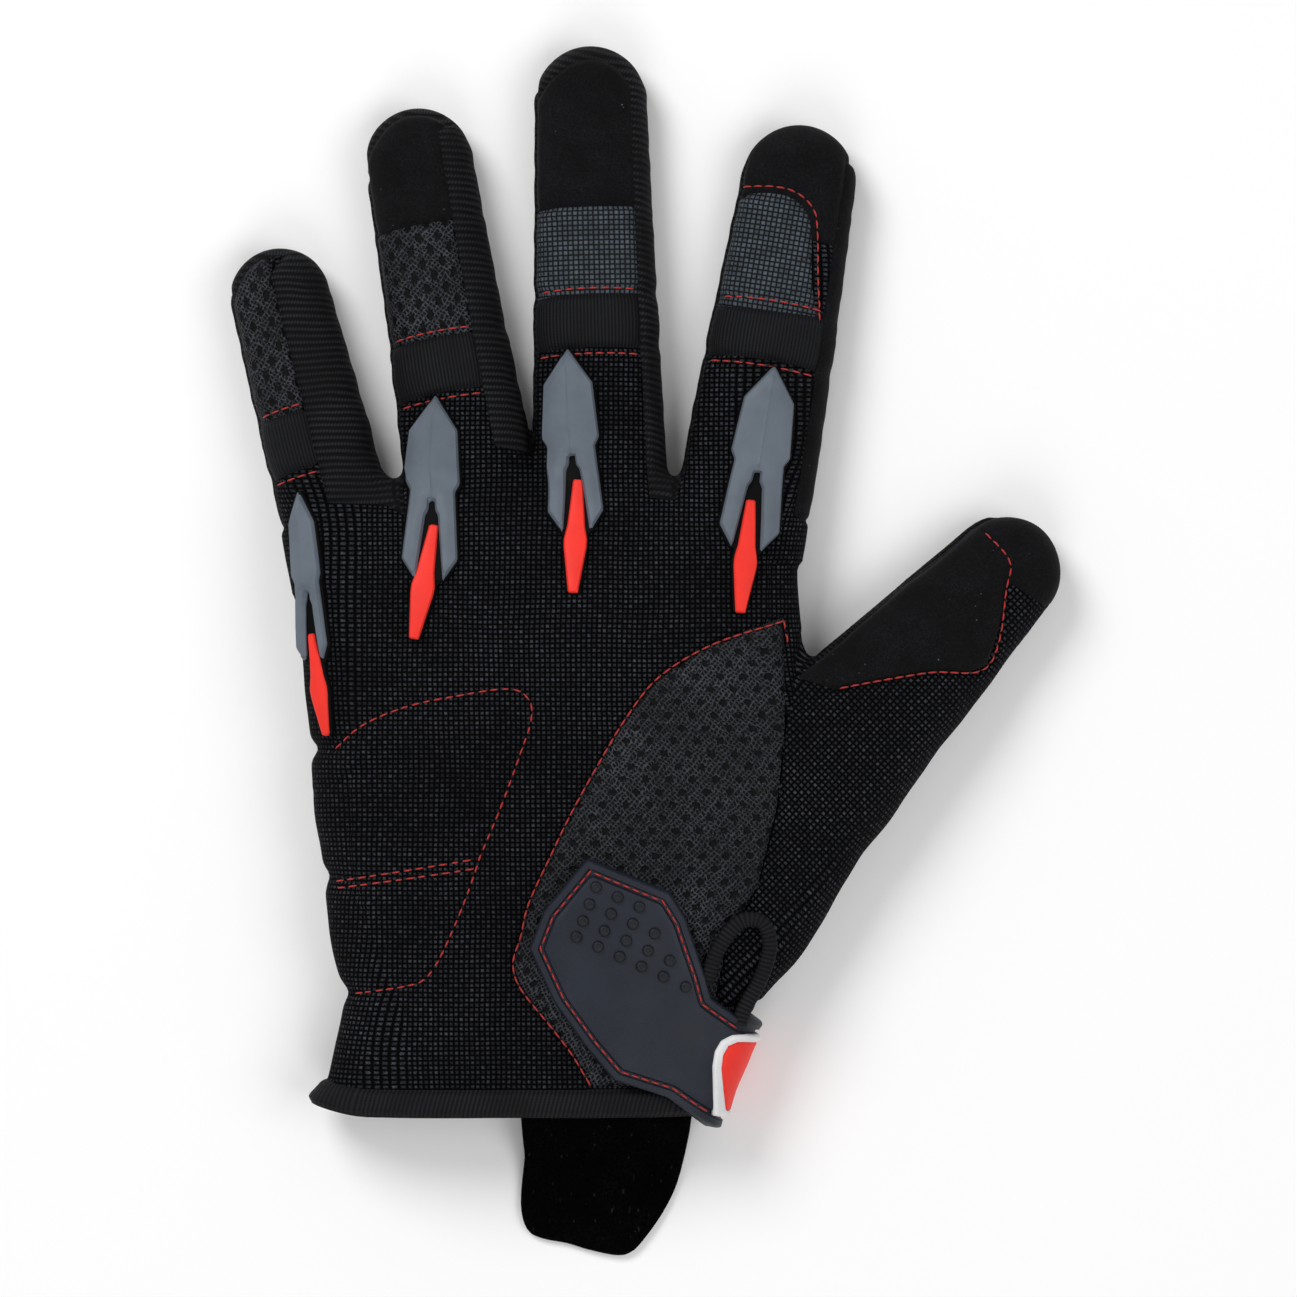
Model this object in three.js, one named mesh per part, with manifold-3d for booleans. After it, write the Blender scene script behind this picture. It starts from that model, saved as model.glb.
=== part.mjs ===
// Mechanic glove, left hand, lying palm down. Millimetres, +Z up, fingers along +Y, thumb towards +X.
import * as THREE from 'three';
import { mergeVertices } from 'three/addons/utils/BufferGeometryUtils.js';
import Module from 'manifold-3d';

const wasm = await Module();
wasm.setup();

// Driving sizes
const WALL = 1.6;
const GAP = 0.3;
const PATCH = 1.0;
const GUARD_EDGE = 1.6;
const GUARD_RIDGE = 3.0;
const GUARD_HALF = 6.5;
const INSERT_HALF = 2.7;
const INSERT_RISE = 1.9;
const BINDING = 1.2;
const BINDING_DEPTH = 6.6;
const STRAP_IN = 1.6;
const STRAP_OUT = 4.3;
const DOT_RADIUS = 1.25;
const DOT_RISE = 0.7;
const BADGE_RISE = 0.9;
const TAPE_WIDE = 3.6;
const TAPE_TALL = 3.0;
const TAB_THICK = 1.6;
const HOOK_THICK = 0.9;
const REST = PATCH + GAP;
const SPLIT = 7.5;
const FAR = 200;
const EVEN = 0.06;
const FINGER_SIDES = 12;
const HAND_SIDES = 22;
const HEM_Y = -98.4;
const CUFF_REST = STRAP_OUT + BADGE_RISE;
const HEEL_Y = 35;
const FINGER_TOP = 17.8;
const TIP_TOP = 15.2;
const ROOT_LIFT = 3;
const HAND_TOP = 28.5;

// Fingers: root and tip centre in plan, half widths, and the seams as depths from the fingertip.
// seam is where the back panel ends on its right, as a share of the half width.
const FINGERS = {
  little: { rootX: -46.8, rootY: 28, tipX: -63.2, tipY: 92.2, rootHalf: 14.4, webHalf: 13.5, midHalf: 12.6, tipHalf: 11.6,
    seam: -0.05, cap: 0, band: 38.5, bandEnd: 52, patch: 25.5 },
  ring: { rootX: -16.2, rootY: 34, tipX: -30.9, tipY: 123.2, rootHalf: 17.2, webHalf: 15.7, midHalf: 13.6, tipHalf: 12.6,
    seam: 0.46, cap: 27.5, band: 54, bandEnd: 67, patch: 29 },
  middle: { rootX: 11.4, rootY: 34, tipX: 9.2, tipY: 137.4, rootHalf: 17.2, webHalf: 15.8, midHalf: 14.3, tipHalf: 13.1,
    seam: 0.72, cap: 37.8, band: 58.3, bandEnd: 70.8, patch: 48 },
  index: { rootX: 42.4, rootY: 34, tipX: 57.0, tipY: 118.2, rootHalf: 17.2, webHalf: 16.0, midHalf: 14.6, tipHalf: 13.4,
    seam: 0.78, cap: 18.5, band: 43.4, bandEnd: 56, patch: 51 },
};
const TIP_LENGTH = { little: 11.4, ring: 12.9, middle: 13.2, index: 13.8, thumb: 12.4 };

// Thumb stations from the palm to the tip centre.
const THUMB = [
  { x: 48, y: -32, half: 21.0, low: REST + ROOT_LIFT, top: 24.0 },
  { x: 60, y: -19, half: 21.4, low: REST + 0.4, top: 24.6 },
  { x: 73.8, y: -4.5, half: 18.3, low: REST, top: 23.5 },
  { x: 87.6, y: 9.8, half: 16.2, low: REST, top: 21.0 },
  { x: 106.0, y: 28.6, half: 12.6, low: REST, top: 17.0 },
];

// Hand stations from the cuff to the finger roots.
const HAND = [
  { y: HEM_Y - 2, left: -55.4, right: 34.8, low: CUFF_REST, top: 24.6 },
  { y: -88, left: -52.2, right: 38.4, low: CUFF_REST, top: 24.6 },
  { y: -75, left: -48.8, right: 44.6, low: CUFF_REST, top: 24.5 },
  { y: -60, left: -51.0, right: 58.6, low: 3.0, top: 26.0 },
  { y: -40, left: -54.0, right: 70.0, low: REST, top: 27.6 },
  { y: -20, left: -56.2, right: 67.0, low: REST, top: 28.4 },
  { y: 5, left: -58.8, right: 59.5, low: REST, top: HAND_TOP },
  { y: 25, left: -60.8, right: 57.0, low: REST, top: 27.0 },
  { y: 40, left: -62.4, right: 57.5, low: REST, top: 23.6 },
  { y: 48, left: -58.0, right: 55.0, low: 2.0, top: 19.5 },
  { y: 54, left: -48.0, right: 48.0, low: 4.0, top: 15.5 },
];

const signedPower = (value, power) => Math.sign(value) * Math.pow(Math.abs(value), power);

// Height of a rounded section at a share of its half width.
const crown = (share, power) => Math.pow(Math.max(0, 1 - Math.pow(Math.abs(share), power)), 1 / power);

function plan(x, y) {
  return new THREE.Vector2(x, y);
}

// A closed ring of points: rounded above, flatter below.
function sectionRing(centre, across, half, low, top, count, upPower, downPower) {
  const ring = [];
  const middle = low + 0.42 * (top - low);
  for (let i = 0; i < count; i += 1) {
    const angle = (2 * Math.PI * (i + 0.5)) / count;
    const up = Math.sin(angle) > 0;
    const power = up ? upPower : downPower;
    const u = half * signedPower(Math.cos(angle), 2 / power);
    const fullest = Math.cos(Math.PI / count);
    const rise = signedPower(Math.sin(angle) / fullest, 2 / power);
    const z = middle + rise * (up ? top - middle : middle - low);
    ring.push([centre.x + across.x * u, centre.y + across.y * u, z]);
  }
  return ring;
}

// Rings joined into one closed body.
function loft(rings) {
  const count = rings[0].length;
  const positions = rings.flat(2);
  const index = [];
  for (let r = 0; r + 1 < rings.length; r += 1) {
    for (let i = 0; i < count; i += 1) {
      const a = r * count + i;
      const b = r * count + ((i + 1) % count);
      index.push(a, b, a + count, b, b + count, a + count);
    }
  }
  for (const r of [0, rings.length - 1]) {
    const hub = positions.length / 3;
    const sum = [0, 0, 0];
    for (const point of rings[r]) {
      point.forEach((value, k) => {
        sum[k] += value / count;
      });
    }
    positions.push(...sum);
    for (let i = 0; i < count; i += 1) {
      const a = r * count + i;
      const b = r * count + ((i + 1) % count);
      index.push(...(r === 0 ? [b, a, hub] : [a, b, hub]));
    }
  }
  const geometry = new THREE.BufferGeometry();
  geometry.setAttribute('position', new THREE.Float32BufferAttribute(positions, 3));
  geometry.setIndex(index);
  return bodyOf(geometry);
}

function meshVolume(positions, index) {
  let volume = 0;
  const a = new THREE.Vector3();
  const b = new THREE.Vector3();
  const c = new THREE.Vector3();
  for (let i = 0; i < index.length; i += 3) {
    a.fromArray(positions, 3 * index[i]);
    b.fromArray(positions, 3 * index[i + 1]);
    c.fromArray(positions, 3 * index[i + 2]);
    volume += a.dot(b.cross(c)) / 6;
  }
  return volume;
}

function bodyOf(source) {
  let geometry = source.clone();
  geometry.deleteAttribute('normal');
  geometry.deleteAttribute('uv');
  geometry = mergeVertices(geometry, 1e-4);
  const vertProperties = new Float32Array(geometry.attributes.position.array);
  const triVerts = new Uint32Array(geometry.index.array);
  if (meshVolume(vertProperties, triVerts) < 0) {
    for (let i = 0; i < triVerts.length; i += 3) {
      const kept = triVerts[i];
      triVerts[i] = triVerts[i + 1];
      triVerts[i + 1] = kept;
    }
  }
  return new wasm.Manifold(new wasm.Mesh({ numProp: 3, vertProperties, triVerts }));
}

// Stations of a finger as shares of its length.
function fingerStations(name) {
  const f = FINGERS[name];
  const root = plan(f.rootX, f.rootY);
  const tip = plan(f.tipX, f.tipY);
  const shares = [
    { at: 0, half: f.rootHalf, low: REST + ROOT_LIFT, top: FINGER_TOP + 2.2 },
    { at: 0.3, half: f.webHalf, low: REST, top: FINGER_TOP + 0.8 },
    { at: 0.6, half: f.midHalf, low: REST, top: FINGER_TOP },
    { at: 1, half: f.tipHalf, low: REST, top: TIP_TOP },
  ];
  return shares.map((s) => {
    const centre = root.clone().lerp(tip, s.at);
    return { x: centre.x, y: centre.y, half: s.half, low: s.low, top: s.top };
  });
}

// A tube along plan stations with a rounded end, grown by an offset.
function tube(stations, tipLength, offset, count) {
  const rings = [];
  const last = stations.length - 1;
  stations.forEach((s, i) => {
    const before = stations[Math.max(i - 1, 0)];
    const after = stations[Math.min(i + 1, last)];
    const along = plan(after.x - before.x, after.y - before.y).normalize();
    const across = plan(along.y, -along.x);
    const low = s.low - offset;
    rings.push(sectionRing(s, across, s.half + offset, low, s.top + offset, count, 2.3, 3.2));
    if (i === last) {
      const middle = REST + 0.42 * (s.top - REST);
      for (const degrees of [32, 58, 78]) {
        const turn = THREE.MathUtils.degToRad(degrees);
        const shrink = Math.pow(Math.cos(turn), 0.8);
        const step = (tipLength + offset) * Math.sin(turn);
        const centre = plan(s.x + along.x * step, s.y + along.y * step);
        const flat = Math.pow(shrink, 0.75);
        const bottom = middle - (middle - REST + offset) * flat;
        const top = middle + (s.top - middle + offset) * flat;
        rings.push(sectionRing(centre, across, (s.half + offset) * shrink, bottom, top, count, 2.3, 3.2));
      }
    }
  });
  return loft(rings);
}

function handBody(offset) {
  const across = plan(1, 0);
  const last = HAND.length - 1;
  const rings = HAND.map((s, i) => {
    const centre = plan((s.left + s.right) / 2, s.y + (i === last ? offset : 0));
    const half = (s.right - s.left) / 2 + offset;
    return sectionRing(centre, across, half, s.low - offset, s.top + offset, HAND_SIDES, 2.5, 5);
  });
  return loft(rings);
}

// The glove's whole outer form, grown or shrunk by an offset.
const formCache = new Map();
function form(offset) {
  if (!formCache.has(offset)) {
    let body = handBody(offset);
    for (const name of Object.keys(FINGERS)) {
      body = body.add(tube(fingerStations(name), TIP_LENGTH[name], offset, FINGER_SIDES));
    }
    body = body.add(tube(THUMB, TIP_LENGTH.thumb, offset, FINGER_SIDES));
    formCache.set(offset, body);
  }
  return formCache.get(offset);
}

// Outline tools
function signedArea(points) {
  return THREE.ShapeUtils.area(points);
}

function grownOutline(points, amount) {
  const ccw = signedArea(points) > 0 ? points : [...points].reverse();
  return ccw.map((point, i) => {
    const before = ccw[(i + ccw.length - 1) % ccw.length];
    const after = ccw[(i + 1) % ccw.length];
    const a = point.clone().sub(before).normalize();
    const b = after.clone().sub(point).normalize();
    const na = plan(a.y, -a.x);
    const nb = plan(b.y, -b.x);
    const mid = na.clone().add(nb);
    const scale = Math.min(2.5, 2 / Math.max(0.2, mid.lengthSq()));
    return point.clone().add(mid.multiplyScalar(amount * scale));
  });
}

function prism(points, low, high) {
  const shape = new THREE.Shape(points);
  const geometry = new THREE.ExtrudeGeometry(shape, { depth: high - low, bevelEnabled: false, steps: 1 });
  geometry.translate(0, 0, low);
  return bodyOf(geometry);
}

// A smooth closed outline through named seam points.
function seamLoop(rows, divisions) {
  const points = rows.map((row) => new THREE.Vector3(row.x, row.y, 0));
  const curve = new THREE.CatmullRomCurve3(points, true, 'centripetal');
  return curve.getPoints(divisions).slice(0, -1).map((p) => plan(p.x, p.y));
}

// A point on a finger: u as a share of the local half width, depth from the fingertip in millimetres.
function onFinger(name, u, depth) {
  const f = FINGERS[name];
  const root = plan(f.rootX, f.rootY);
  const tip = plan(f.tipX, f.tipY);
  const along = tip.clone().sub(root);
  const length = along.length();
  along.normalize();
  const across = plan(along.y, -along.x);
  const v = length + TIP_LENGTH[name] - depth;
  const share = THREE.MathUtils.clamp(v / length, 0, 1);
  const half = share > 0.6
    ? THREE.MathUtils.lerp(f.midHalf, f.tipHalf, (share - 0.6) / 0.4)
    : THREE.MathUtils.lerp(f.rootHalf, f.midHalf, share / 0.6);
  return root.clone().addScaledVector(along, v).addScaledVector(across, u * half);
}

function fingerStrip(name, left, right, fromDepth, toDepth) {
  const steps = 2;
  const points = [];
  for (let i = 0; i <= steps; i += 1) {
    points.push(onFinger(name, left, THREE.MathUtils.lerp(fromDepth, toDepth, i / steps)));
  }
  for (let i = steps; i >= 0; i -= 1) {
    points.push(onFinger(name, right, THREE.MathUtils.lerp(fromDepth, toDepth, i / steps)));
  }
  return points;
}

// Materials
function finish(color, roughness) {
  return new THREE.MeshStandardMaterial({ color, roughness, metalness: 0 });
}
const WOVEN = finish('#15161a', 0.9);
const STRETCH = finish('#101013', 0.85);
const SPACER = finish('#1b1c20', 0.9);
const PRINTED = finish('#2b2d31', 0.85);
const SUEDE = finish('#17181c', 0.95);
const GRAINED = finish('#2b2f36', 0.7);
const MOULDED = finish('#646c75', 0.55);
const STRAP = finish('#2a2d35', 0.5);
const RED = finish('#f03a34', 0.5);
const WHITE = finish('#dcdde0', 0.5);

const group = new THREE.Group();
group.name = 'mechanic_glove';

function show(name, body, material) {
  const parts = body.simplify(EVEN).decompose();
  parts.sort((a, b) => b.volume() - a.volume());
  const mesh = parts[0].getMesh();
  const geometry = new THREE.BufferGeometry();
  geometry.setAttribute('position', new THREE.BufferAttribute(new Float32Array(mesh.vertProperties), 3));
  geometry.setIndex(new THREE.BufferAttribute(new Uint32Array(mesh.triVerts), 1));
  geometry.computeVertexNormals();
  const node = new THREE.Mesh(geometry, material);
  node.name = name;
  group.add(node);
}

// The hollow shell, open at the cuff
const mouth = bodyOf(new THREE.BoxGeometry(FAR, 20, FAR).translate(0, HEM_Y - 10 + BINDING + GAP, 0));
const hollow = form(-WALL);
let rest = form(0).subtract(hollow).subtract(mouth);

function topCut(points) {
  return prism(points, SPLIT + GAP / 2, FAR);
}
function topClear(points) {
  return prism(grownOutline(points, GAP), SPLIT - GAP / 2, FAR);
}
function lowCut(points) {
  return prism(points, -FAR, SPLIT - GAP / 2);
}
function lowClear(points) {
  return prism(grownOutline(points, GAP), -FAR, SPLIT + GAP / 2);
}

function carveTop(name, points, material) {
  show(name, rest.intersect(topCut(points)), material);
  rest = rest.subtract(topClear(points));
}
function carveLow(name, points, material) {
  show(name, rest.intersect(lowCut(points)), material);
  rest = rest.subtract(lowClear(points));
}

// Side strips between the fingers: seen from above past the back seam, from below before the palm seam
const CROTCH = {
  little_ring: { x: -38.2, y: 48 },
  ring_middle: { x: -5.6, y: 60 },
  middle_index: { x: 28.2, y: 49 },
};
function sideStrip(name, leftFinger, rightFinger, crotch) {
  const above = [];
  const below = [];
  const deep = 1.45;
  const steps = 3;
  const depthTo = (finger) => {
    const f = FINGERS[finger];
    const length = Math.hypot(f.tipX - f.rootX, f.tipY - f.rootY);
    return length + TIP_LENGTH[finger] - (crotch.y - f.rootY) + 3;
  };
  if (leftFinger) {
    const seam = FINGERS[leftFinger].seam;
    const end = depthTo(leftFinger);
    const outer = rightFinger ? 1.05 : deep;
    for (let i = 0; i <= steps; i += 1) {
      const depth = THREE.MathUtils.lerp(6, end, i / steps);
      above.push(onFinger(leftFinger, seam, depth));
      below.push(onFinger(leftFinger, rightFinger ? 0.9 : 0.66, depth));
    }
    if (!rightFinger) {
      above.push(onFinger(leftFinger, outer, end));
      above.push(onFinger(leftFinger, outer, 6));
      below.push(onFinger(leftFinger, outer, end));
      below.push(onFinger(leftFinger, outer, 6));
    }
  }
  if (rightFinger) {
    const end = depthTo(rightFinger);
    const start = 6;
    if (!leftFinger) {
      above.push(onFinger(rightFinger, -deep, start));
      above.push(onFinger(rightFinger, -deep, end));
      below.push(onFinger(rightFinger, -deep, start));
      below.push(onFinger(rightFinger, -deep, end));
    } else {
      above.push(plan(crotch.x, crotch.y - 4));
      below.push(plan(crotch.x, crotch.y - 4));
    }
    for (let i = steps; i >= 0; i -= 1) {
      const depth = THREE.MathUtils.lerp(start, end, i / steps);
      above.push(onFinger(rightFinger, -1.0, depth));
      below.push(onFinger(rightFinger, -0.5, depth));
    }
  }
  const slab = SPLIT;
  const cutter = prism(above, slab, FAR).add(prism(below, -FAR, slab));
  const clearUp = prism(grownOutline(above, GAP), slab - GAP, FAR);
  const clearLow = prism(grownOutline(below, GAP), -FAR, slab + GAP);
  show(name, rest.intersect(cutter), STRETCH);
  rest = rest.subtract(clearUp.add(clearLow));
}
sideStrip('side_little_outer', null, 'little', { x: -68, y: 46 });
sideStrip('side_little_ring', 'little', 'ring', CROTCH.little_ring);
sideStrip('side_ring_middle', 'ring', 'middle', CROTCH.ring_middle);
sideStrip('side_middle_index', 'middle', 'index', CROTCH.middle_index);
sideStrip('side_index_outer', 'index', null, { x: 64, y: 47 });

// Finger backs: cap, panel and stretch band
for (const [name, f] of Object.entries(FINGERS)) {
  const left = -1.5;
  const right = f.seam;
  const wide = name === 'index' ? 1.5 : right;
  if (f.cap > 0) {
    carveTop(`tip_cap_${name}`, fingerStrip(name, left, wide + 0.6, -8, f.cap), SUEDE);
  }
  const plain = name === 'little' || name === 'ring';
  const from = f.cap > 0 ? f.cap : -8;
  const panelName = plain ? `mesh_panel_${name}` : `print_panel_${name}`;
  carveTop(panelName, fingerStrip(name, left, right + 0.02, from, f.band), plain ? SPACER : PRINTED);
  carveTop(`knuckle_band_${name}`, fingerStrip(name, left, right + 0.02, f.band, f.bandEnd), STRETCH);
}

// Back of the hand and thumb seams
const MESH_EDGE = [
  { x: 54.3, y: 18 },
  { x: 36.9, y: 11.4 },
  { x: 24.6, y: 3.9 },
  { x: 17.1, y: -5.4 },
  { x: 10.8, y: -15.9 },
  { x: 4.5, y: -27.3 },
  { x: -5.4, y: -48.3 },
  { x: -9, y: -62.1 },
  { x: -0.3, y: -76.8 },
  { x: 9, y: -90.6 },
  { x: 34.5, y: -90.6 },
  { x: 37.5, y: -72 },
  { x: 40.5, y: -57 },
  { x: 47.4, y: -44.7 },
  { x: 51.9, y: -25.8 },
  { x: 53.7, y: -7.2 },
];
carveTop('hand_mesh_panel', MESH_EDGE.map((p) => plan(p.x, p.y)), SPACER);
const THUMB_SEAM = [
  { x: 60.6, y: 7.5 },
  { x: 80, y: 24 },
  { x: 99, y: 40 },
  { x: 112, y: 60 },
  { x: 140, y: 40 },
  { x: 130, y: 10 },
  { x: 105.3, y: 24.3 },
  { x: 102.7, y: 6.3 },
  { x: 88, y: 4.8 },
  { x: 65.4, y: 1.2 },
  { x: 57, y: 4 },
];
carveTop('thumb_patch', THUMB_SEAM.map((p) => plan(p.x, p.y)), SUEDE);
const THUMB_BACK = [
  { x: 58.5, y: 14 },
  { x: 54.1, y: -7.2 },
  { x: 52.3, y: -25.8 },
  { x: 47.8, y: -44.7 },
  { x: 40.9, y: -57 },
  { x: 37.9, y: -72 },
  { x: 80, y: -72 },
  { x: 160, y: 0 },
  { x: 120, y: 34 },
];
carveTop('thumb_back', THUMB_BACK.map((p) => plan(p.x, p.y)), WOVEN);

// Palm side panels
const GUSSET_SEAM = [
  { x: 122, y: 44 },
  { x: 114, y: 27 },
  { x: 92, y: 6 },
  { x: 66, y: -12 },
  { x: 48, y: -29 },
  { x: 40, y: -42 },
  { x: 35, y: -55 },
  { x: 60, y: -61 },
  { x: 120, y: -40 },
  { x: 160, y: 20 },
];
carveLow('thumb_gusset', GUSSET_SEAM.map((p) => plan(p.x, p.y)), WOVEN);
const ELASTIC_TOP = [
  { x: -70, y: -60.5 },
  { x: -40, y: -62 },
  { x: 10, y: -62.6 },
  { x: 34, y: -63 },
  { x: 70, y: -65 },
  { x: 70, y: -120 },
  { x: -70, y: -120 },
];
carveLow('wrist_elastic', ELASTIC_TOP.map((p) => plan(p.x, p.y)), STRETCH);

const everywhere = [plan(-FAR, -FAR), plan(FAR, -FAR), plan(FAR, FAR), plan(-FAR, FAR)];
show('back_panel', rest.intersect(topCut(everywhere)), WOVEN);
show('palm_leather', rest.intersect(lowCut(everywhere)), GRAINED);

// Layers laid on the form
function layer(inner, outer) {
  return form(outer).subtract(form(inner));
}
const patchLayer = layer(GAP, REST);
const lowOverlay = SPLIT - 1;

// Palm reinforcement: lobes at the finger roots, a strip along the thumb, a pad at the heel of the hand
const PALM_SEAM = [
  { x: -59.1, y: 25.5 },
  { x: -57.3, y: 42 },
  { x: -51, y: 49.5 },
  { x: -44.1, y: 40.5 },
  { x: -36, y: 33 },
  { x: -30.9, y: 35.7 },
  { x: -25.2, y: 50.7 },
  { x: -21.3, y: 53.1 },
  { x: -13.8, y: 45.6 },
  { x: -6, y: 43.2 },
  { x: -0.6, y: 46.8 },
  { x: 4.8, y: 57 },
  { x: 9.3, y: 58.2 },
  { x: 14.4, y: 49.5 },
  { x: 22.5, y: 42.6 },
  { x: 27.6, y: 44.4 },
  { x: 33.9, y: 59.4 },
  { x: 38, y: 63 },
  { x: 44.5, y: 61.8 },
  { x: 47.1, y: 55.8 },
  { x: 44.4, y: 38.1 },
  { x: 42.2, y: 19.2 },
  { x: 43.2, y: 5 },
  { x: 48.5, y: 2.4 },
  { x: 56, y: 5.5 },
  { x: 64, y: 11 },
  { x: 80, y: 24.2 },
  { x: 96, y: 38 },
  { x: 103, y: 41 },
  { x: 107, y: 37 },
  { x: 101, y: 25.5 },
  { x: 85.8, y: 10 },
  { x: 69.6, y: -5 },
  { x: 54.2, y: -15.5 },
  { x: 50.4, y: -5 },
  { x: 28.8, y: -8.6 },
  { x: 17.4, y: 7.3 },
  { x: 9.9, y: 24 },
  { x: 4, y: 28.6 },
  { x: -27.6, y: 25.5 },
  { x: -30.9, y: 20 },
  { x: -28.5, y: -10.5 },
  { x: -23, y: -14.8 },
  { x: -2.7, y: -13.8 },
  { x: 20.1, y: -16.8 },
  { x: 26.2, y: -23.1 },
  { x: 25.4, y: -36.9 },
  { x: 20, y: -48 },
  { x: 3.6, y: -55 },
  { x: -15.3, y: -58.6 },
  { x: -37.8, y: -57 },
  { x: -47, y: -50 },
  { x: -53.4, y: -33.3 },
  { x: -56.1, y: -18.3 },
];
show('palm_patch', patchLayer.intersect(prism(seamLoop(PALM_SEAM, 62), -FAR, lowOverlay)), GRAINED);
for (const [name, f] of Object.entries(FINGERS)) {
  const points = fingerStrip(name, -0.5, 0.88, -1, f.patch);
  const slab = prism(points, -FAR, lowOverlay);
  show(`fingertip_patch_${name}`, patchLayer.intersect(slab), GRAINED);
}

// Height of the form above a point of the plan
function tubeHeight(stations, x, y, grow) {
  let best = 0;
  for (let i = 0; i + 1 < stations.length; i += 1) {
    const a = stations[i];
    const b = stations[i + 1];
    const run = plan(b.x - a.x, b.y - a.y);
    const length = run.length();
    run.normalize();
    const share = ((x - a.x) * run.x + (y - a.y) * run.y) / length;
    if (share >= -0.05 && share <= 1.05) {
      const side = Math.abs((x - a.x) * run.y - (y - a.y) * run.x);
      const half = THREE.MathUtils.lerp(a.half, b.half, share) + grow;
      const top = THREE.MathUtils.lerp(a.top, b.top, share) + grow;
      const middle = REST + 0.42 * (top - REST);
      if (side < half) {
        best = Math.max(best, middle + (top - middle) * crown(side / half, 2.3));
      }
    }
  }
  return best;
}
function handHeight(x, y) {
  let best = 0;
  for (let i = 0; i + 1 < HAND.length; i += 1) {
    const a = HAND[i];
    const b = HAND[i + 1];
    const share = (y - a.y) / (b.y - a.y);
    if (share >= 0 && share <= 1) {
      const left = THREE.MathUtils.lerp(a.left, b.left, share);
      const right = THREE.MathUtils.lerp(a.right, b.right, share);
      const low = THREE.MathUtils.lerp(a.low, b.low, share);
      const top = THREE.MathUtils.lerp(a.top, b.top, share);
      const middle = low + 0.42 * (top - low);
      const off = (2 * x - left - right) / (right - left);
      if (Math.abs(off) < 1) {
        best = Math.max(best, middle + (top - middle) * crown(off, 2.5));
      }
    }
  }
  return best;
}
function formHeight(x, y) {
  let best = handHeight(x, y);
  for (const name of Object.keys(FINGERS)) {
    best = Math.max(best, tubeHeight(fingerStations(name), x, y, 0));
  }
  return Math.max(best, tubeHeight(THUMB, x, y, 0));
}

// A strip that follows the form, with a ridge along its middle: rows are shares of length and half width.
function ridged(fromX, fromY, toX, toY, rows, edge, ridge, width) {
  const from = plan(fromX, fromY);
  const to = plan(toX, toY);
  const along = to.clone().sub(from).normalize();
  const across = plan(-along.y, along.x);
  const length = from.distanceTo(to);
  const rings = rows.map((row) => {
    const centre = from.clone().addScaledVector(along, row.at * length);
    const half = row.half * width;
    const shares = [-1, -0.5, 0, 0.5, 1];
    const top = shares.map((share) => {
      const point = centre.clone().addScaledVector(across, share * half);
      const lift = THREE.MathUtils.lerp(ridge, edge, Math.abs(share));
      return [point.x, point.y, formHeight(point.x, point.y) + lift];
    });
    const bottom = [1, 0, -1].map((share) => {
      const point = centre.clone().addScaledVector(across, share * half);
      return [point.x, point.y, SPLIT];
    });
    return [...top, ...bottom];
  });
  return loft(rings);
}

const GUARD_ROWS = [
  { at: 0, half: 0.06 },
  { at: 0.18, half: 0.82 },
  { at: 0.47, half: 0.95 },
  { at: 0.505, half: 0.8 },
  { at: 0.88, half: 1 },
  { at: 1, half: 0.55 },
];
const INSERT_ROWS = [
  { at: 0, half: 0.4 },
  { at: 0.5, half: 1 },
  { at: 1, half: 0.4 },
];
const GUARDS = [
  { name: 'little', topX: -58.4, topY: 47, endX: -54.2, endY: 6.6, tipX: -55.0, tipY: 14, lastX: -51.6,
    lastY: -9.6, width: 0.52 },
  { name: 'ring', topX: -27, topY: 69, endX: -28.2, endY: 25.8, tipX: -27.2, tipY: 38.7, lastX: -31.6,
    lastY: 12.6, width: 1 },
  { name: 'middle', topX: 3.6, topY: 79.8, endX: 5.6, endY: 36.9, tipX: 6, tipY: 49.2, lastX: 4.8,
    lastY: 23.1, width: 1 },
  { name: 'index', topX: 51.3, topY: 75.9, endX: 44.4, endY: 33, tipX: 45.8, tipY: 44.7, lastX: 43,
    lastY: 18.6, width: 1.06 },
];
const skin = form(GAP);
for (const g of GUARDS) {
  const rows = GUARD_ROWS.map((row) => ({ at: row.at, half: row.half }));
  const whole = ridged(g.topX, g.topY, g.endX, g.endY, rows, GUARD_EDGE, GUARD_RIDGE, GUARD_HALF * g.width);
  const from = plan(g.tipX, g.tipY);
  const to = plan(g.lastX, g.lastY);
  const half = INSERT_HALF * g.width;
  const insert = ridged(from.x, from.y, to.x, to.y, INSERT_ROWS, INSERT_RISE - 0.5, INSERT_RISE, half);
  const along = to.clone().sub(from).normalize();
  const across = plan(-along.y, along.x);
  const length = from.distanceTo(to);
  const slotPoint = (at, wide) => from.clone().addScaledVector(along, at * length)
    .addScaledVector(across, wide);
  const slot = [
    slotPoint(-0.2, -0.7 * g.width),
    slotPoint(-0.08, -0.55 * half - GAP),
    slotPoint(0.5, -half - GAP),
    slotPoint(1.1, -half - GAP),
    slotPoint(1.1, half + GAP),
    slotPoint(0.5, half + GAP),
    slotPoint(-0.08, 0.55 * half + GAP),
    slotPoint(-0.2, 0.7 * g.width),
  ];
  show(`knuckle_guard_${g.name}`, whole.subtract(prism(slot, -FAR, FAR)).subtract(skin), MOULDED);
  show(`knuckle_insert_${g.name}`, insert.subtract(skin), RED);
}

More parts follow.
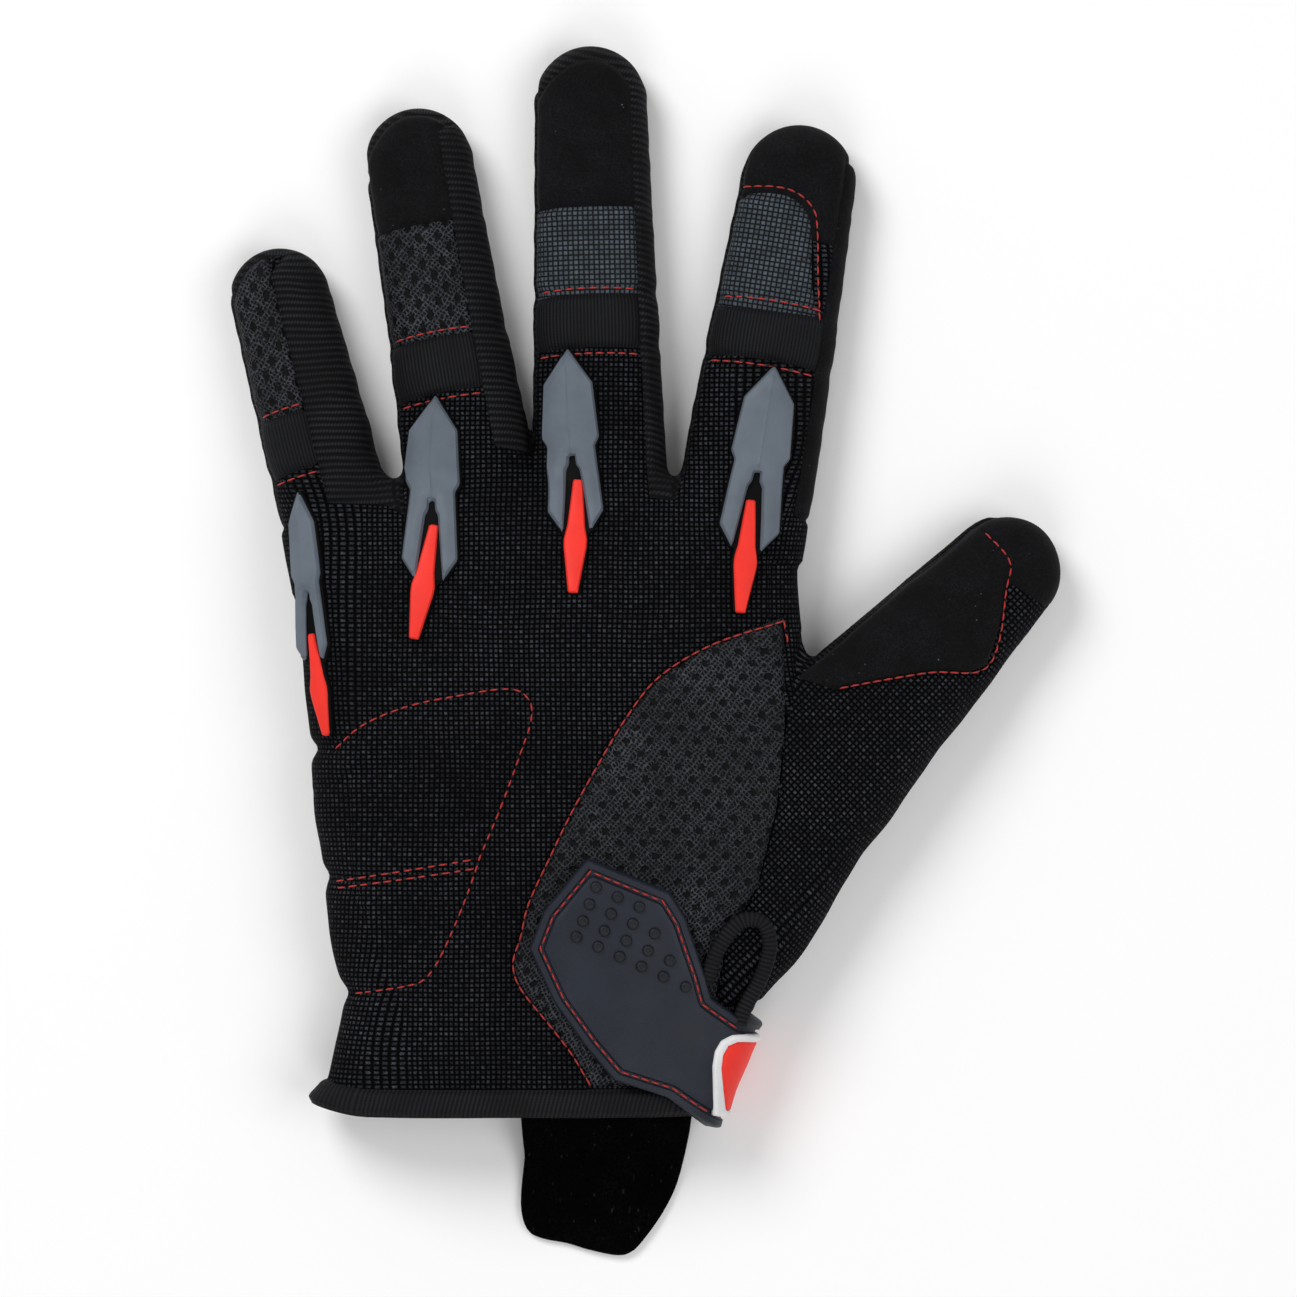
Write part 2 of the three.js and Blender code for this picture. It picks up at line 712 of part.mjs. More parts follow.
// Cuff binding: a band outside the shell that turns in over its edge
const hemBack = bodyOf(new THREE.BoxGeometry(FAR, BINDING_DEPTH, FAR)
  .translate(0, HEM_Y + BINDING_DEPTH / 2, 0));
const hemFront = bodyOf(new THREE.BoxGeometry(FAR, FAR, FAR)
  .translate(0, HEM_Y + BINDING + FAR / 2, 0));
const hem = form(GAP + BINDING).subtract(hollow).subtract(form(GAP).intersect(hemFront));
show('hem_binding', hem.intersect(hemBack), STRETCH);

// Strap round the thumb side of the wrist
const STRAP_ABOVE = [
  { x: 8.1, y: -37.5 },
  { x: 27, y: -45.3 },
  { x: 30.6, y: -51.3 },
  { x: 34.8, y: -64.2 },
  { x: 36, y: -69.3 },
  { x: 42, y: -74 },
  { x: 70, y: -76 },
  { x: 70, y: -100 },
  { x: 36, y: -101.1 },
  { x: 32.4, y: -98 },
  { x: 25.8, y: -92.7 },
  { x: 14, y: -88.8 },
  { x: 7.8, y: -81.3 },
  { x: 0.6, y: -70.8 },
  { x: -5.1, y: -58.2 },
  { x: -1.8, y: -49.5 },
];
const STRAP_BELOW = [
  { x: 70, y: -76 },
  { x: 70, y: -100 },
  { x: 36, y: -99.5 },
  { x: 10, y: -96 },
  { x: 3, y: -94.5 },
  { x: -1.5, y: -91 },
  { x: -3, y: -84 },
  { x: -1.5, y: -74 },
  { x: 2, y: -70.5 },
  { x: 12, y: -69.5 },
  { x: 40, y: -74 },
];
function wrap(inner, outer, above, below) {
  const body = layer(inner, outer);
  const upper = prism(above.map((p) => plan(p.x, p.y)), SPLIT, FAR);
  const lower = prism(below.map((p) => plan(p.x, p.y)), -FAR, SPLIT);
  return body.intersect(upper.add(lower));
}
const hemReach = bodyOf(new THREE.BoxGeometry(FAR, FAR, FAR)
  .translate(0, HEM_Y + BINDING_DEPTH + GAP - FAR / 2, 0));
const hemSpace = form(GAP + BINDING + GAP).intersect(hemReach);
let strap = wrap(STRAP_IN, STRAP_OUT, STRAP_ABOVE, STRAP_BELOW).subtract(hemSpace);
const DOTS = [
  { x: 10.2, y: -43.8, count: 3 },
  { x: 8.7, y: -47.7, count: 4 },
  { x: 7.2, y: -51.6, count: 5 },
  { x: 5.7, y: -55.2, count: 6 },
];
const dotLayer = layer(STRAP_OUT - 0.5, STRAP_OUT + DOT_RISE);
for (const row of DOTS) {
  for (let i = 0; i < row.count; i += 1) {
    const circle = [];
    for (let k = 0; k < 6; k += 1) {
      const angle = (Math.PI * (2 * k + 1)) / 6;
      circle.push(plan(row.x + 4.9 * i + DOT_RADIUS * Math.cos(angle),
        row.y - 2.25 * i + DOT_RADIUS * Math.sin(angle)));
    }
    strap = strap.add(dotLayer.intersect(prism(circle, SPLIT, FAR)));
  }
}
show('wrist_strap', strap, STRAP);

// Blank badge on the strap, round the wrist's edge
const BADGE_ABOVE = [
  { x: 41, y: -78 },
  { x: 36.6, y: -83 },
  { x: 36.2, y: -90 },
  { x: 38, y: -96.5 },
  { x: 70, y: -96.5 },
  { x: 70, y: -78.5 },
];
const BADGE_BELOW = [
  { x: 70, y: -78.5 },
  { x: 70, y: -96.5 },
  { x: 40, y: -96 },
  { x: 12, y: -91.5 },
  { x: 5, y: -88.5 },
  { x: 3.5, y: -83 },
  { x: 5, y: -76 },
  { x: 12, y: -74.5 },
  { x: 38, y: -78 },
];
const RIM = 1.5;
const inset = (rows, amount) => grownOutline(rows.map((p) => plan(p.x, p.y)), -amount);
const badgeField = wrap(STRAP_OUT + GAP, STRAP_OUT + BADGE_RISE - 0.2, inset(BADGE_ABOVE, RIM + GAP),
  inset(BADGE_BELOW, RIM + GAP));
const badgeHole = wrap(STRAP_OUT, STRAP_OUT + BADGE_RISE + GAP,
  grownOutline(inset(BADGE_ABOVE, RIM + GAP), GAP), grownOutline(inset(BADGE_BELOW, RIM + GAP), GAP));
const badgeWhole = wrap(STRAP_OUT + GAP, STRAP_OUT + BADGE_RISE, inset(BADGE_ABOVE, 0), inset(BADGE_BELOW, 0));
show('strap_badge_rim', badgeWhole.subtract(badgeHole), WHITE);
show('strap_badge_field', badgeField, RED);

// Tape loop at the strap's upper corner: a flat path in plan, standing on the wrist
const LOOP = [
  { x: 35.4, y: -66.6 },
  { x: 38.4, y: -58.5 },
  { x: 43.2, y: -52.5 },
  { x: 48.4, y: -52.6 },
  { x: 50.2, y: -58 },
  { x: 48.2, y: -65.5 },
  { x: 44.4, y: -72.6 },
];
const loopHeight = formHeight(43.5, -62) + GAP + 0.2;
const loopCurve = new THREE.CatmullRomCurve3(LOOP.map((p) => new THREE.Vector3(p.x, p.y, 0)), false, 'centripetal');
const loopSpine = loopCurve.getPoints(18);
const side = (sign) => loopSpine.map((point, i) => {
  const before = loopSpine[Math.max(i - 1, 0)];
  const after = loopSpine[Math.min(i + 1, loopSpine.length - 1)];
  const run = plan(after.x - before.x, after.y - before.y).normalize();
  return plan(point.x + sign * run.y * TAPE_WIDE / 2, point.y - sign * run.x * TAPE_WIDE / 2);
});
const loopOutline = [...side(1), ...side(-1).reverse()];
const strapSpace = wrap(STRAP_IN - GAP, STRAP_OUT + GAP, grownOutline(STRAP_ABOVE.map((p) => plan(p.x, p.y)), GAP),
  grownOutline(STRAP_BELOW.map((p) => plan(p.x, p.y)), GAP));
const loopBody = prism(loopOutline, SPLIT + 2, loopHeight + TAPE_TALL);
show('pull_loop', loopBody.subtract(form(GAP)).subtract(strapSpace), STRETCH);

// Fastener patch on the wrist panel
const HOOK = [plan(-11.5, -92.4), plan(0, -93.6), plan(0, -80.4), plan(-11.5, -79.8)];
const hook = layer(GAP, GAP + HOOK_THICK).intersect(prism(HOOK, -FAR, lowOverlay)).subtract(hemSpace);
show('hook_patch', hook, SUEDE);

// Loop-fabric tab: leaves the cuff from inside and comes down to the table
const TAB = [
  { x: -4.5, y: -91 },
  { x: -6.6, y: -108.6 },
  { x: -7.2, y: -120 },
  { x: -5.4, y: -125.5 },
  { x: -1.8, y: -127.2 },
  { x: 3, y: -128.1 },
  { x: 9, y: -129.9 },
  { x: 16.2, y: -130.8 },
  { x: 20.4, y: -126.9 },
  { x: 25.8, y: -119.4 },
  { x: 28.8, y: -111.6 },
  { x: 31.5, y: -98 },
  { x: 30, y: -91 },
];
const TAB_SIDE = [
  { y: -88, z: CUFF_REST + WALL + GAP },
  { y: HEM_Y - 1, z: CUFF_REST + WALL + GAP },
  { y: HEM_Y - 6, z: 4.4 },
  { y: HEM_Y - 12, z: 1.2 },
  { y: HEM_Y - 17, z: 0 },
  { y: -140, z: 0 },
];
const under = TAB_SIDE.map((p) => plan(p.y, p.z));
const over = TAB_SIDE.map((p) => plan(p.y, p.z + TAB_THICK)).reverse();
const tabSide = new THREE.ExtrudeGeometry(new THREE.Shape([...under, ...over]), {
  depth: FAR, bevelEnabled: false, steps: 1,
});
tabSide.applyMatrix4(new THREE.Matrix4().makeBasis(
  new THREE.Vector3(0, 1, 0), new THREE.Vector3(0, 0, 1), new THREE.Vector3(1, 0, 0)));
tabSide.translate(-FAR / 2, 0, 0);
const tabBody = bodyOf(tabSide);
const cuffSpace = form(BINDING + 2 * GAP).subtract(form(-WALL - GAP));
show('pull_tab', tabBody.subtract(cuffSpace).intersect(prism(TAB.map((p) => plan(p.x, p.y)), -FAR, FAR)), SUEDE);

// The origin lies on the table under the heel pad
group.position.set(0, HEEL_Y, 0);

export default group;
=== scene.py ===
"""Mechanic glove, left hand, lying palm down on a pale table.

The soft form is one smooth field: rounded tubes for the fingers and thumb, blended into a lofted hand.
Its level surface is meshed once, and every panel is that surface cut at its seam lines.
Tables are in millimetres in the drawing frame: X towards the thumb, Y along the fingers, Z up.
"""

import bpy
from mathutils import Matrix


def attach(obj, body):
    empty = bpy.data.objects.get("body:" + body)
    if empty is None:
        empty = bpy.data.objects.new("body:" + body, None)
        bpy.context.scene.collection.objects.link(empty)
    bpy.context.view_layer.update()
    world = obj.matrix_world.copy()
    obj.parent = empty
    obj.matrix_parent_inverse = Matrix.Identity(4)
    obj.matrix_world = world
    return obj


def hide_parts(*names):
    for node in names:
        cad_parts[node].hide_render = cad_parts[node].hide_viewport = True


bl_info = {
    "name": "Mechanic glove",
    "version": (1, 0, 0),
    "blender": (4, 5, 0),
    "location": "View3D > Sidebar > Glove",
    "description": "Builds a padded work glove with moulded knuckle guards and a wrist strap",
    "category": "Add Mesh",
}

import math

import bpy
import numpy as np
from bpy.props import FloatProperty, FloatVectorProperty, PointerProperty
from mathutils import Vector

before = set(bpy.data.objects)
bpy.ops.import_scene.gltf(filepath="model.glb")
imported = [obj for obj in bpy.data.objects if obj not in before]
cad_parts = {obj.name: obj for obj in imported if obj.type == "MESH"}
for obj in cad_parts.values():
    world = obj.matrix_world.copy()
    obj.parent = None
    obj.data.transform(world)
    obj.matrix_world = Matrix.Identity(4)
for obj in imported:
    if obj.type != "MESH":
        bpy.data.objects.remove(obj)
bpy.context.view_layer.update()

MM = 0.001
TAU = 2 * math.pi
# The drawing's origin along Y, the flat underside, the cuff's end and the height of the side seams
ORIGIN_Y = 35.0
REST = 1.3
HEM_Y = -97.8
SEAM_Z = 7.5
# Roundness of the sections above and below their middle, and the middle's share of the height
UP_POWER, DOWN_POWER = 2.3, 3.2
HAND_UP_POWER, HAND_DOWN_POWER = 2.5, 5.0
MIDDLE = 0.42
# Where the hand ends between the fingers, and the widths over which the forms blend
HAND_END = 50.0
END_BLEND, FINGER_BLEND, HAND_BLEND, THUMB_BLEND = 5.0, 1.2, 3.6, 4.0
# The box of the net in the drawing frame, and how many of its planes are worked out at once
NET_LOW, NET_HIGH = (-82, HEM_Y - 4), (126, 160, 33)
SLAB = 16
CORNERS = [(a, b, c) for a in (0, 1) for b in (0, 1) for c in (0, 1)]

FINGER_COLUMNS = ("root_x", "root_y", "tip_x", "tip_y", "root_half", "web_half", "mid_half", "tip_half",
                  "tip_length", "seam", "cap", "band", "band_end", "patch")
FINGERS = {
    "little": (-47.2, 28, -63.9, 92.6, 13.4, 13.0, 12.6, 11.6, 11.4, -0.05, 0, 38.5, 52, 25.5),
    "ring": (-16.6, 34, -31.4, 123.8, 16.4, 15.1, 13.6, 12.6, 12.9, 0.46, 27.5, 54, 67, 29),
    "middle": (11.2, 34, 8.7, 138.0, 16.4, 15.3, 14.3, 13.1, 13.2, 0.72, 37.8, 58.3, 70.8, 48),
    "index": (42.6, 34, 57.2, 119.0, 15.4, 15.6, 14.8, 13.4, 13.8, 0.78, 18.5, 43.4, 56, 51),
}
HALVES = ("root_half", "web_half", "mid_half", "tip_half")
FINGER_AT = (0, 0.3, 0.6, 1)
FINGER_LOW = (4.3, 1.3, 1.3, 1.3)
FINGER_TOP = (20.0, 18.6, 17.8, 15.2)
# Thumb sections: x, y, half width, bottom, top
THUMB = np.array([
    (48, -32, 21.0, 4.3, 24.0),
    (60, -19, 21.4, 1.7, 24.6),
    (73.8, -4.5, 18.3, 1.3, 23.5),
    (87.6, 9.8, 16.2, 1.3, 21.0),
    (106.0, 28.6, 12.6, 1.3, 17.0),
])
THUMB_TIP = 12.4
# Hand sections: y, left edge, right edge, bottom, top
HAND = np.array([
    (-100.4, -55.4, 34.8, 5.2, 24.6),
    (-88, -52.2, 38.4, 5.2, 24.6),
    (-75, -48.2, 44.6, 5.2, 24.5),
    (-60, -50.0, 58.6, 3.0, 26.0),
    (-40, -52.8, 70.0, 1.3, 27.6),
    (-20, -55.2, 67.0, 1.3, 28.4),
    (5, -57.8, 59.5, 1.3, 28.5),
    (25, -60.8, 57.0, 1.3, 27.0),
    (40, -62.4, 57.5, 1.3, 23.6),
    (48, -58.0, 55.0, 2.0, 19.5),
    (54, -48.0, 48.0, 4.0, 15.5),
])


def finger(name):
    """One row of the finger table by column name."""
    return dict(zip(FINGER_COLUMNS, FINGERS[name]))


def finger_axis(name):
    """A finger's row, its root, its unit direction in plan, and its length up to the middle of its tip."""
    f = finger(name)
    root = np.array((f["root_x"], f["root_y"]))
    run = np.array((f["tip_x"], f["tip_y"])) - root
    length = np.hypot(*run)
    return f, root, run / length, length


def smooth_min(a, b, k):
    """The lesser of two fields, rounded over a width k where they are close."""
    h = np.maximum(k - np.abs(a - b), 0) / k
    return np.minimum(a, b) - h * h * k * 0.25


def smooth_rows(rows, step=1.0, spread=4.0, reach=12, extra=20):
    """Rows of a table at an even step along the first column, eased by a bell-shaped average."""
    at = np.arange(rows[0, 0] - extra, rows[-1, 0] + extra, step)
    weights = np.exp(-0.5 * (np.arange(-reach, reach + 1) * step / spread) ** 2)
    weights /= weights.sum()
    out = [at]
    for column in rows.T[1:]:
        padded = np.pad(np.interp(at, rows[:, 0], column), reach, mode="edge")
        out.append(np.convolve(padded, weights, mode="valid"))
    return np.array(out)


HAND_SMOOTH = smooth_rows(HAND)


def section_field(u, z, half, low, top, beyond, up, down):
    """Nearly the signed distance to a rounded section, plan^n + (|z|/height)^n = 1.

    Here plan^2 = (u/half)^2 + beyond^2, where beyond counts past the end of the axis."""
    middle = low + MIDDLE * (top - low)
    above = z > middle
    height = np.where(above, top - middle, middle - low)
    n = np.where(above, up, down)
    q = np.abs(u) / half
    plan = np.sqrt(q * q + beyond * beyond) + 1e-6
    h = np.abs(z - middle) / height + 1e-6
    rho = (plan ** n + h ** n) ** (1 / n)
    slope = rho ** (1 - n) * np.sqrt((plan ** (n - 1) / half) ** 2 + (h ** (n - 1) / height) ** 2)
    return (rho - 1) / np.maximum(slope, 1e-3)


def finger_plan(name, x, y):
    """Place of plan points on a finger: u across, v along from the root, and the local half width."""
    f, root, run, length = finger_axis(name)
    v = (x - root[0]) * run[0] + (y - root[1]) * run[1]
    u = (x - root[0]) * run[1] - (y - root[1]) * run[0]
    rows = np.array([FINGER_AT, [f[k] for k in HALVES], FINGER_LOW, FINGER_TOP], float).T
    table = smooth_rows(np.column_stack((rows[:, 0] * length, rows[:, 1:])))
    half = np.interp(v, table[0], table[1])
    low = np.interp(v, table[0], table[2])
    top = np.interp(v, table[0], table[3])
    return u, v, half, low, top, length


def thumb_plan(x, y):
    """Place of plan points on the thumb, whose axis is nearly straight."""
    run = THUMB[-1, :2] - THUMB[0, :2]
    length = np.hypot(*run)
    run = run / length
    v = (x - THUMB[0, 0]) * run[0] + (y - THUMB[0, 1]) * run[1]
    u = (x - THUMB[0, 0]) * run[1] - (y - THUMB[0, 1]) * run[0]
    at = (THUMB[:, :2] - THUMB[0, :2]) @ run
    bow = (THUMB[:, :2] - THUMB[0, :2]) @ np.array((run[1], -run[0]))
    table = smooth_rows(np.column_stack((at, THUMB[:, 2:], bow)))
    u = u - np.interp(v, table[0], table[4])
    return u, v, *(np.interp(v, table[0], table[k]) for k in (1, 2, 3)), length


def hand_plan(x, y):
    """Place of plan points on the hand: offset from its middle, half width, bottom and top."""
    left, right, low, top = (np.interp(y, HAND_SMOOTH[0], HAND_SMOOTH[k]) for k in (1, 2, 3, 4))
    return x - (left + right) / 2, (right - left) / 2, low, top


def glove_field(x, y, z):
    """The whole form: below zero inside. Fingers join first, then the hand, then the table cuts it flat."""
    body = None
    for name in FINGERS:
        u, v, half, low, top, length = finger_plan(name, x, y)
        beyond = np.maximum(v - length, 0) / finger(name)["tip_length"]
        one = np.maximum(section_field(u, z, half, low, top, beyond, UP_POWER, DOWN_POWER), -v)
        body = one if body is None else smooth_min(body, one, FINGER_BLEND)
    u, v, half, low, top, length = thumb_plan(x, y)
    beyond = np.maximum(v - length, 0) / THUMB_TIP
    thumb = np.maximum(section_field(u, z, half, low, top, beyond, UP_POWER, DOWN_POWER), -v)
    u, half, low, top = hand_plan(x, y)
    hand = section_field(u, z, half, low, top, 0 * u, HAND_UP_POWER, HAND_DOWN_POWER)
    hand = -smooth_min(-hand, -(y - HAND_END), END_BLEND)
    body = smooth_min(body, hand, HAND_BLEND)
    body = smooth_min(body, thumb, THUMB_BLEND)
    return np.maximum(body, REST - z)


def field_slope(points, e=0.15):
    """Value, unit direction and steepness of the field at points, by differences over 2e."""
    x, y, z = points.T
    value = glove_field(x, y, z)
    slope = np.column_stack((
        glove_field(x + e, y, z) - glove_field(x - e, y, z),
        glove_field(x, y + e, z) - glove_field(x, y - e, z),
        glove_field(x, y, z + e) - glove_field(x, y, z - e),
    )) / (2 * e)
    size = np.maximum(np.linalg.norm(slope, axis=1), 1e-6)
    return value, slope / size[:, None], size


def net_values(step):
    """The field on an even grid round the form: the grid's first corner and the values."""
    xs = np.arange(NET_LOW[0], NET_HIGH[0], step)
    ys = np.arange(NET_LOW[1], NET_HIGH[1], step)
    zs = np.arange(REST - 2.5 * step, NET_HIGH[2], step)
    values = np.empty((len(xs), len(ys), len(zs)), np.float32)
    for i in range(0, len(xs), SLAB):
        chunk = xs[i:i + SLAB]
        values[i:i + SLAB] = glove_field(chunk[:, None, None], ys[None, :, None], zs[None, None, :])
    return np.array((xs[0], ys[0], zs[0])), values


def cell_points(values, cells):
    """A point in each cell, in grid steps: the mean of the places where the cell's edges cross zero."""
    i, j, k = cells
    base = np.column_stack(cells)
    total = np.zeros((len(i), 3))
    weight = np.zeros(len(i))
    for a in CORNERS:
        for axis in range(3):
            if a[axis]:
                continue
            b = list(a)
            b[axis] = 1
            va = values[i + a[0], j + a[1], k + a[2]]
            vb = values[i + b[0], j + b[1], k + b[2]]
            crossed = (va < 0) != (vb < 0)
            place = (base + np.array(a)).astype(float)
            place[:, axis] += np.where(crossed, va / np.where(crossed, va - vb, 1), 0)
            total += place * crossed[:, None]
            weight += crossed
    return total / weight[:, None]


def cell_quads(inside, number):
    """A quad round each grid edge that crosses zero, through the four cells that share it, facing out."""
    quads = []
    for axis in range(3):
        others = [(1, 2), (2, 0), (0, 1)][axis]
        low, high = [slice(None)] * 3, [slice(None)] * 3
        low[axis], high[axis] = slice(0, -1), slice(1, None)
        start, end = inside[tuple(low)], inside[tuple(high)]
        edges = np.argwhere(start != end)
        within = (edges[:, others] > 0).all(1) & (edges < number.shape).all(1)
        edges = edges[within]
        one, two = np.eye(3, dtype=int)[list(others)]
        quad = np.column_stack([number[tuple((edges - d).T)] for d in (0 * one, one, one + two, two)])
        out = start[tuple(edges.T)]
        quad[~out] = quad[~out][:, ::-1]
        quads.append(quad)
    quads = np.concatenate(quads)
    return quads[(quads >= 0).all(1)]


def settled(points, quads, step, turns=4):
    """Points moved onto the surface, and between turns half way along it to the mean of their neighbours."""
    for turn in range(turns):
        value, direction, size = field_slope(points)
        points = points - direction * (value / size)[:, None].clip(-step, step)
        if turn == turns - 1:
            break
        middle = np.zeros_like(points)
        seen = np.zeros(len(points))
        for c in range(4):
            for d in (1, 3):
                np.add.at(middle, quads[:, c], points[quads[:, (c + d) % 4]])
                np.add.at(seen, quads[:, c], 1)
        shift = middle / np.maximum(seen, 1)[:, None] - points
        rim = (seen < 8) | (points[:, 1] < HEM_Y - 2)
        shift[rim] = 0
        along = (shift * direction).sum(1)
        points = points + 0.5 * (shift - direction * along[:, None])
    return points


def level_mesh(step):
    """The zero level of the form as a net: one point in every grid cell that the surface crosses, one
    quad round every grid edge that it crosses, then each point is moved onto the surface."""
    corner, values = net_values(step)
    inside = values < 0
    nx, ny, nz = (n - 1 for n in values.shape)
    count = sum(inside[a:a + nx, b:b + ny, c:c + nz].astype(np.int8) for a, b, c in CORNERS)
    active = (count > 0) & (count < len(CORNERS))
    number = np.full(active.shape, -1, np.int64)
    number[active] = np.arange(active.sum())
    points = cell_points(values, np.nonzero(active)) * step + corner
    quads = cell_quads(inside, number)
    points = settled(points, quads, step)
    return points, field_slope(points)[1], quads


# Outlines in plan

def path_distance(x, y, path, limit):
    """Distance in plan to an open path, no more than a limit."""
    path = np.asarray(path, float)
    value = np.full(np.shape(x), limit)
    low, high = path.min(0) - limit, path.max(0) + limit
    near = (x > low[0]) & (x < high[0]) & (y > low[1]) & (y < high[1])
    px, py = x[near], y[near]
    best = np.full(px.shape, limit * limit)
    for a, b in zip(path[:-1], path[1:]):
        run = b - a
        t = (((px - a[0]) * run[0] + (py - a[1]) * run[1]) / max(run @ run, 1e-9)).clip(0, 1)
        best = np.minimum(best, (px - a[0] - t * run[0]) ** 2 + (py - a[1] - t * run[1]) ** 2)
    value[near] = np.sqrt(best)
    return value


def curve_through(points, closed=True, steps=6):
    """A smooth curve through plan points: four-point spline spans, each sampled evenly."""
    p = np.asarray(points, float)
    if closed:
        before, after, last = np.roll(p, 1, 0), np.roll(p, -1, 0), np.roll(p, -2, 0)
    else:
        before = np.vstack((2 * p[0] - p[1], p[:-1]))[:-1]
        last = np.vstack((p[2:], 2 * p[-1] - p[-2]))
        after, p = p[1:], p[:-1]
    t = (np.arange(steps) / steps)[None, :, None]
    a, b, c, d = (q[:len(p), None, :] for q in (before, p, after, last))
    bend, twist = 2 * a - 5 * b + 4 * c - d, 3 * b - a - 3 * c + d
    out = 0.5 * (2 * b + (c - a) * t + bend * t ** 2 + twist * t ** 3).reshape(-1, 2)
    return out if closed else np.vstack((out, np.asarray(points[-1], float)))


def outline_field(x, y, outline, limit=None):
    """Signed distance to a closed plan outline, positive inside: nearest edge, then a count of crossings."""
    if limit is not None:
        low, high = outline.min(0) - limit, outline.max(0) + limit
        near = (x > low[0]) & (x < high[0]) & (y > low[1]) & (y < high[1])
        value = np.full(np.shape(x), -float(limit))
        if near.any():
            value[near] = outline_field(x[near], y[near], outline).clip(-limit, limit)
        return value
    best = np.full(np.shape(x), 1e9)
    inside = np.zeros(np.shape(x), bool)
    for a, b in zip(outline, np.roll(outline, -1, 0)):
        run = b - a
        t = ((x - a[0]) * run[0] + (y - a[1]) * run[1]) / max(run @ run, 1e-9)
        t = t.clip(0, 1)
        best = np.minimum(best, (x - a[0] - t * run[0]) ** 2 + (y - a[1] - t * run[1]) ** 2)
        if a[1] != b[1]:
            span = (a[1] > y) != (b[1] > y)
            inside ^= span & (x < a[0] + (y - a[1]) * run[0] / run[1])
    return np.sqrt(best) * np.where(inside, 1, -1)


def on_finger(name, u, depth):
    """A plan point on a finger: u in half widths, depth back from the tip and 0.9 u^2 more at the sides."""
    f, root, run, length = finger_axis(name)
    v = length + f["tip_length"] - (depth + 0.9 * u * u)
    half = np.interp(v / length, FINGER_AT, [f[k] for k in HALVES])
    return root + run * v + np.array((run[1], -run[0])) * u * half


def strip(name, left, right, near, far, steps=5):
    """A plan outline across a finger between two depths and two shares of its half width."""
    depths = np.linspace(near, far, steps)
    across = np.linspace(left, right, 9)[1:-1]
    points = [on_finger(name, left, d) for d in depths]
    points += [on_finger(name, u, far) for u in across]
    points += [on_finger(name, right, d) for d in depths[::-1]]
    points += [on_finger(name, u, near) for u in across[::-1]]
    return np.array(points)


def web_outlines(left, right, x, y, near=6, steps=5):
    """The side strip between two fingers, or outside one: its outline from above and from below."""
    above, below = [], []

    def depths_to(name):
        """Even depths on a finger, from near its tip to just past the strip's lower end."""
        f, root, _, length = finger_axis(name)
        return np.linspace(near, length + f["tip_length"] - (y - root[1]) + 3, steps)

    if left:
        depths = depths_to(left)
        above += [on_finger(left, finger(left)["seam"], d) for d in depths]
        below += [on_finger(left, 0.9 if right else 0.66, d) for d in depths]
    if left and right:
        above.append(np.array((x, y - 4)))
        below.append(np.array((x, y - 4)))
    else:
        name, side = (left, PAST_SIDE) if left else (right, -PAST_SIDE)
        ends = depths_to(name)[[0, -1]]
        outer = [on_finger(name, side, d) for d in (ends[::-1] if left else ends)]
        above += outer
        below += outer
    if right:
        depths = depths_to(right)[::-1]
        above += [on_finger(right, -1.0, d) for d in depths]
        below += [on_finger(right, -0.5, d) for d in depths]
    return np.array(above), np.array(below)


MESH_EDGE = [
    (36.9, 11.4), (24.6, 3.9), (17.1, -5.4), (10.8, -15.9), (4.5, -27.3), (-0.3, -37.2), (-5.4, -48.3),
    (-7.2, -55.8), (-9, -62.1), (-7.2, -68.1), (-0.3, -76.8), (4.5, -83.1), (9, -90.6),
]
MESH_PANEL = np.array([
    (54.3, 18), (45.5, 15), *MESH_EDGE, (34.5, -90.6), (37.5, -72), (40.5, -57), (47.4, -44.7),
    (51.9, -25.8), (53.7, -7.2),
])
THUMB_PATCH = np.array([
    (60.6, 7.5), (80, 24), (99, 40), (112, 60), (140, 40), (130, 10), (105.8, 26), (105.4, 22),
    (104, 15), (101.5, 6), (97, 5), (86, 4.8), (65.4, 1.2), (57, 4),
])
THUMB_BACK = np.array([
    (58.5, 14), (54.1, -7.2), (52.3, -25.8), (47.8, -44.7), (40.9, -57), (37.9, -72), (80, -72),
    (160, 0), (120, 34),
])
GUSSET = np.array([
    (122, 44), (114, 27), (92, 6), (66, -12), (48, -29), (40, -42), (35, -55), (60, -61), (120, -40),
    (160, 20),
])
WRIST_PANEL = np.array([
    (-70, -60.5), (-40, -62), (10, -62.6), (34, -63), (70, -65), (70, -120), (-70, -120),
])
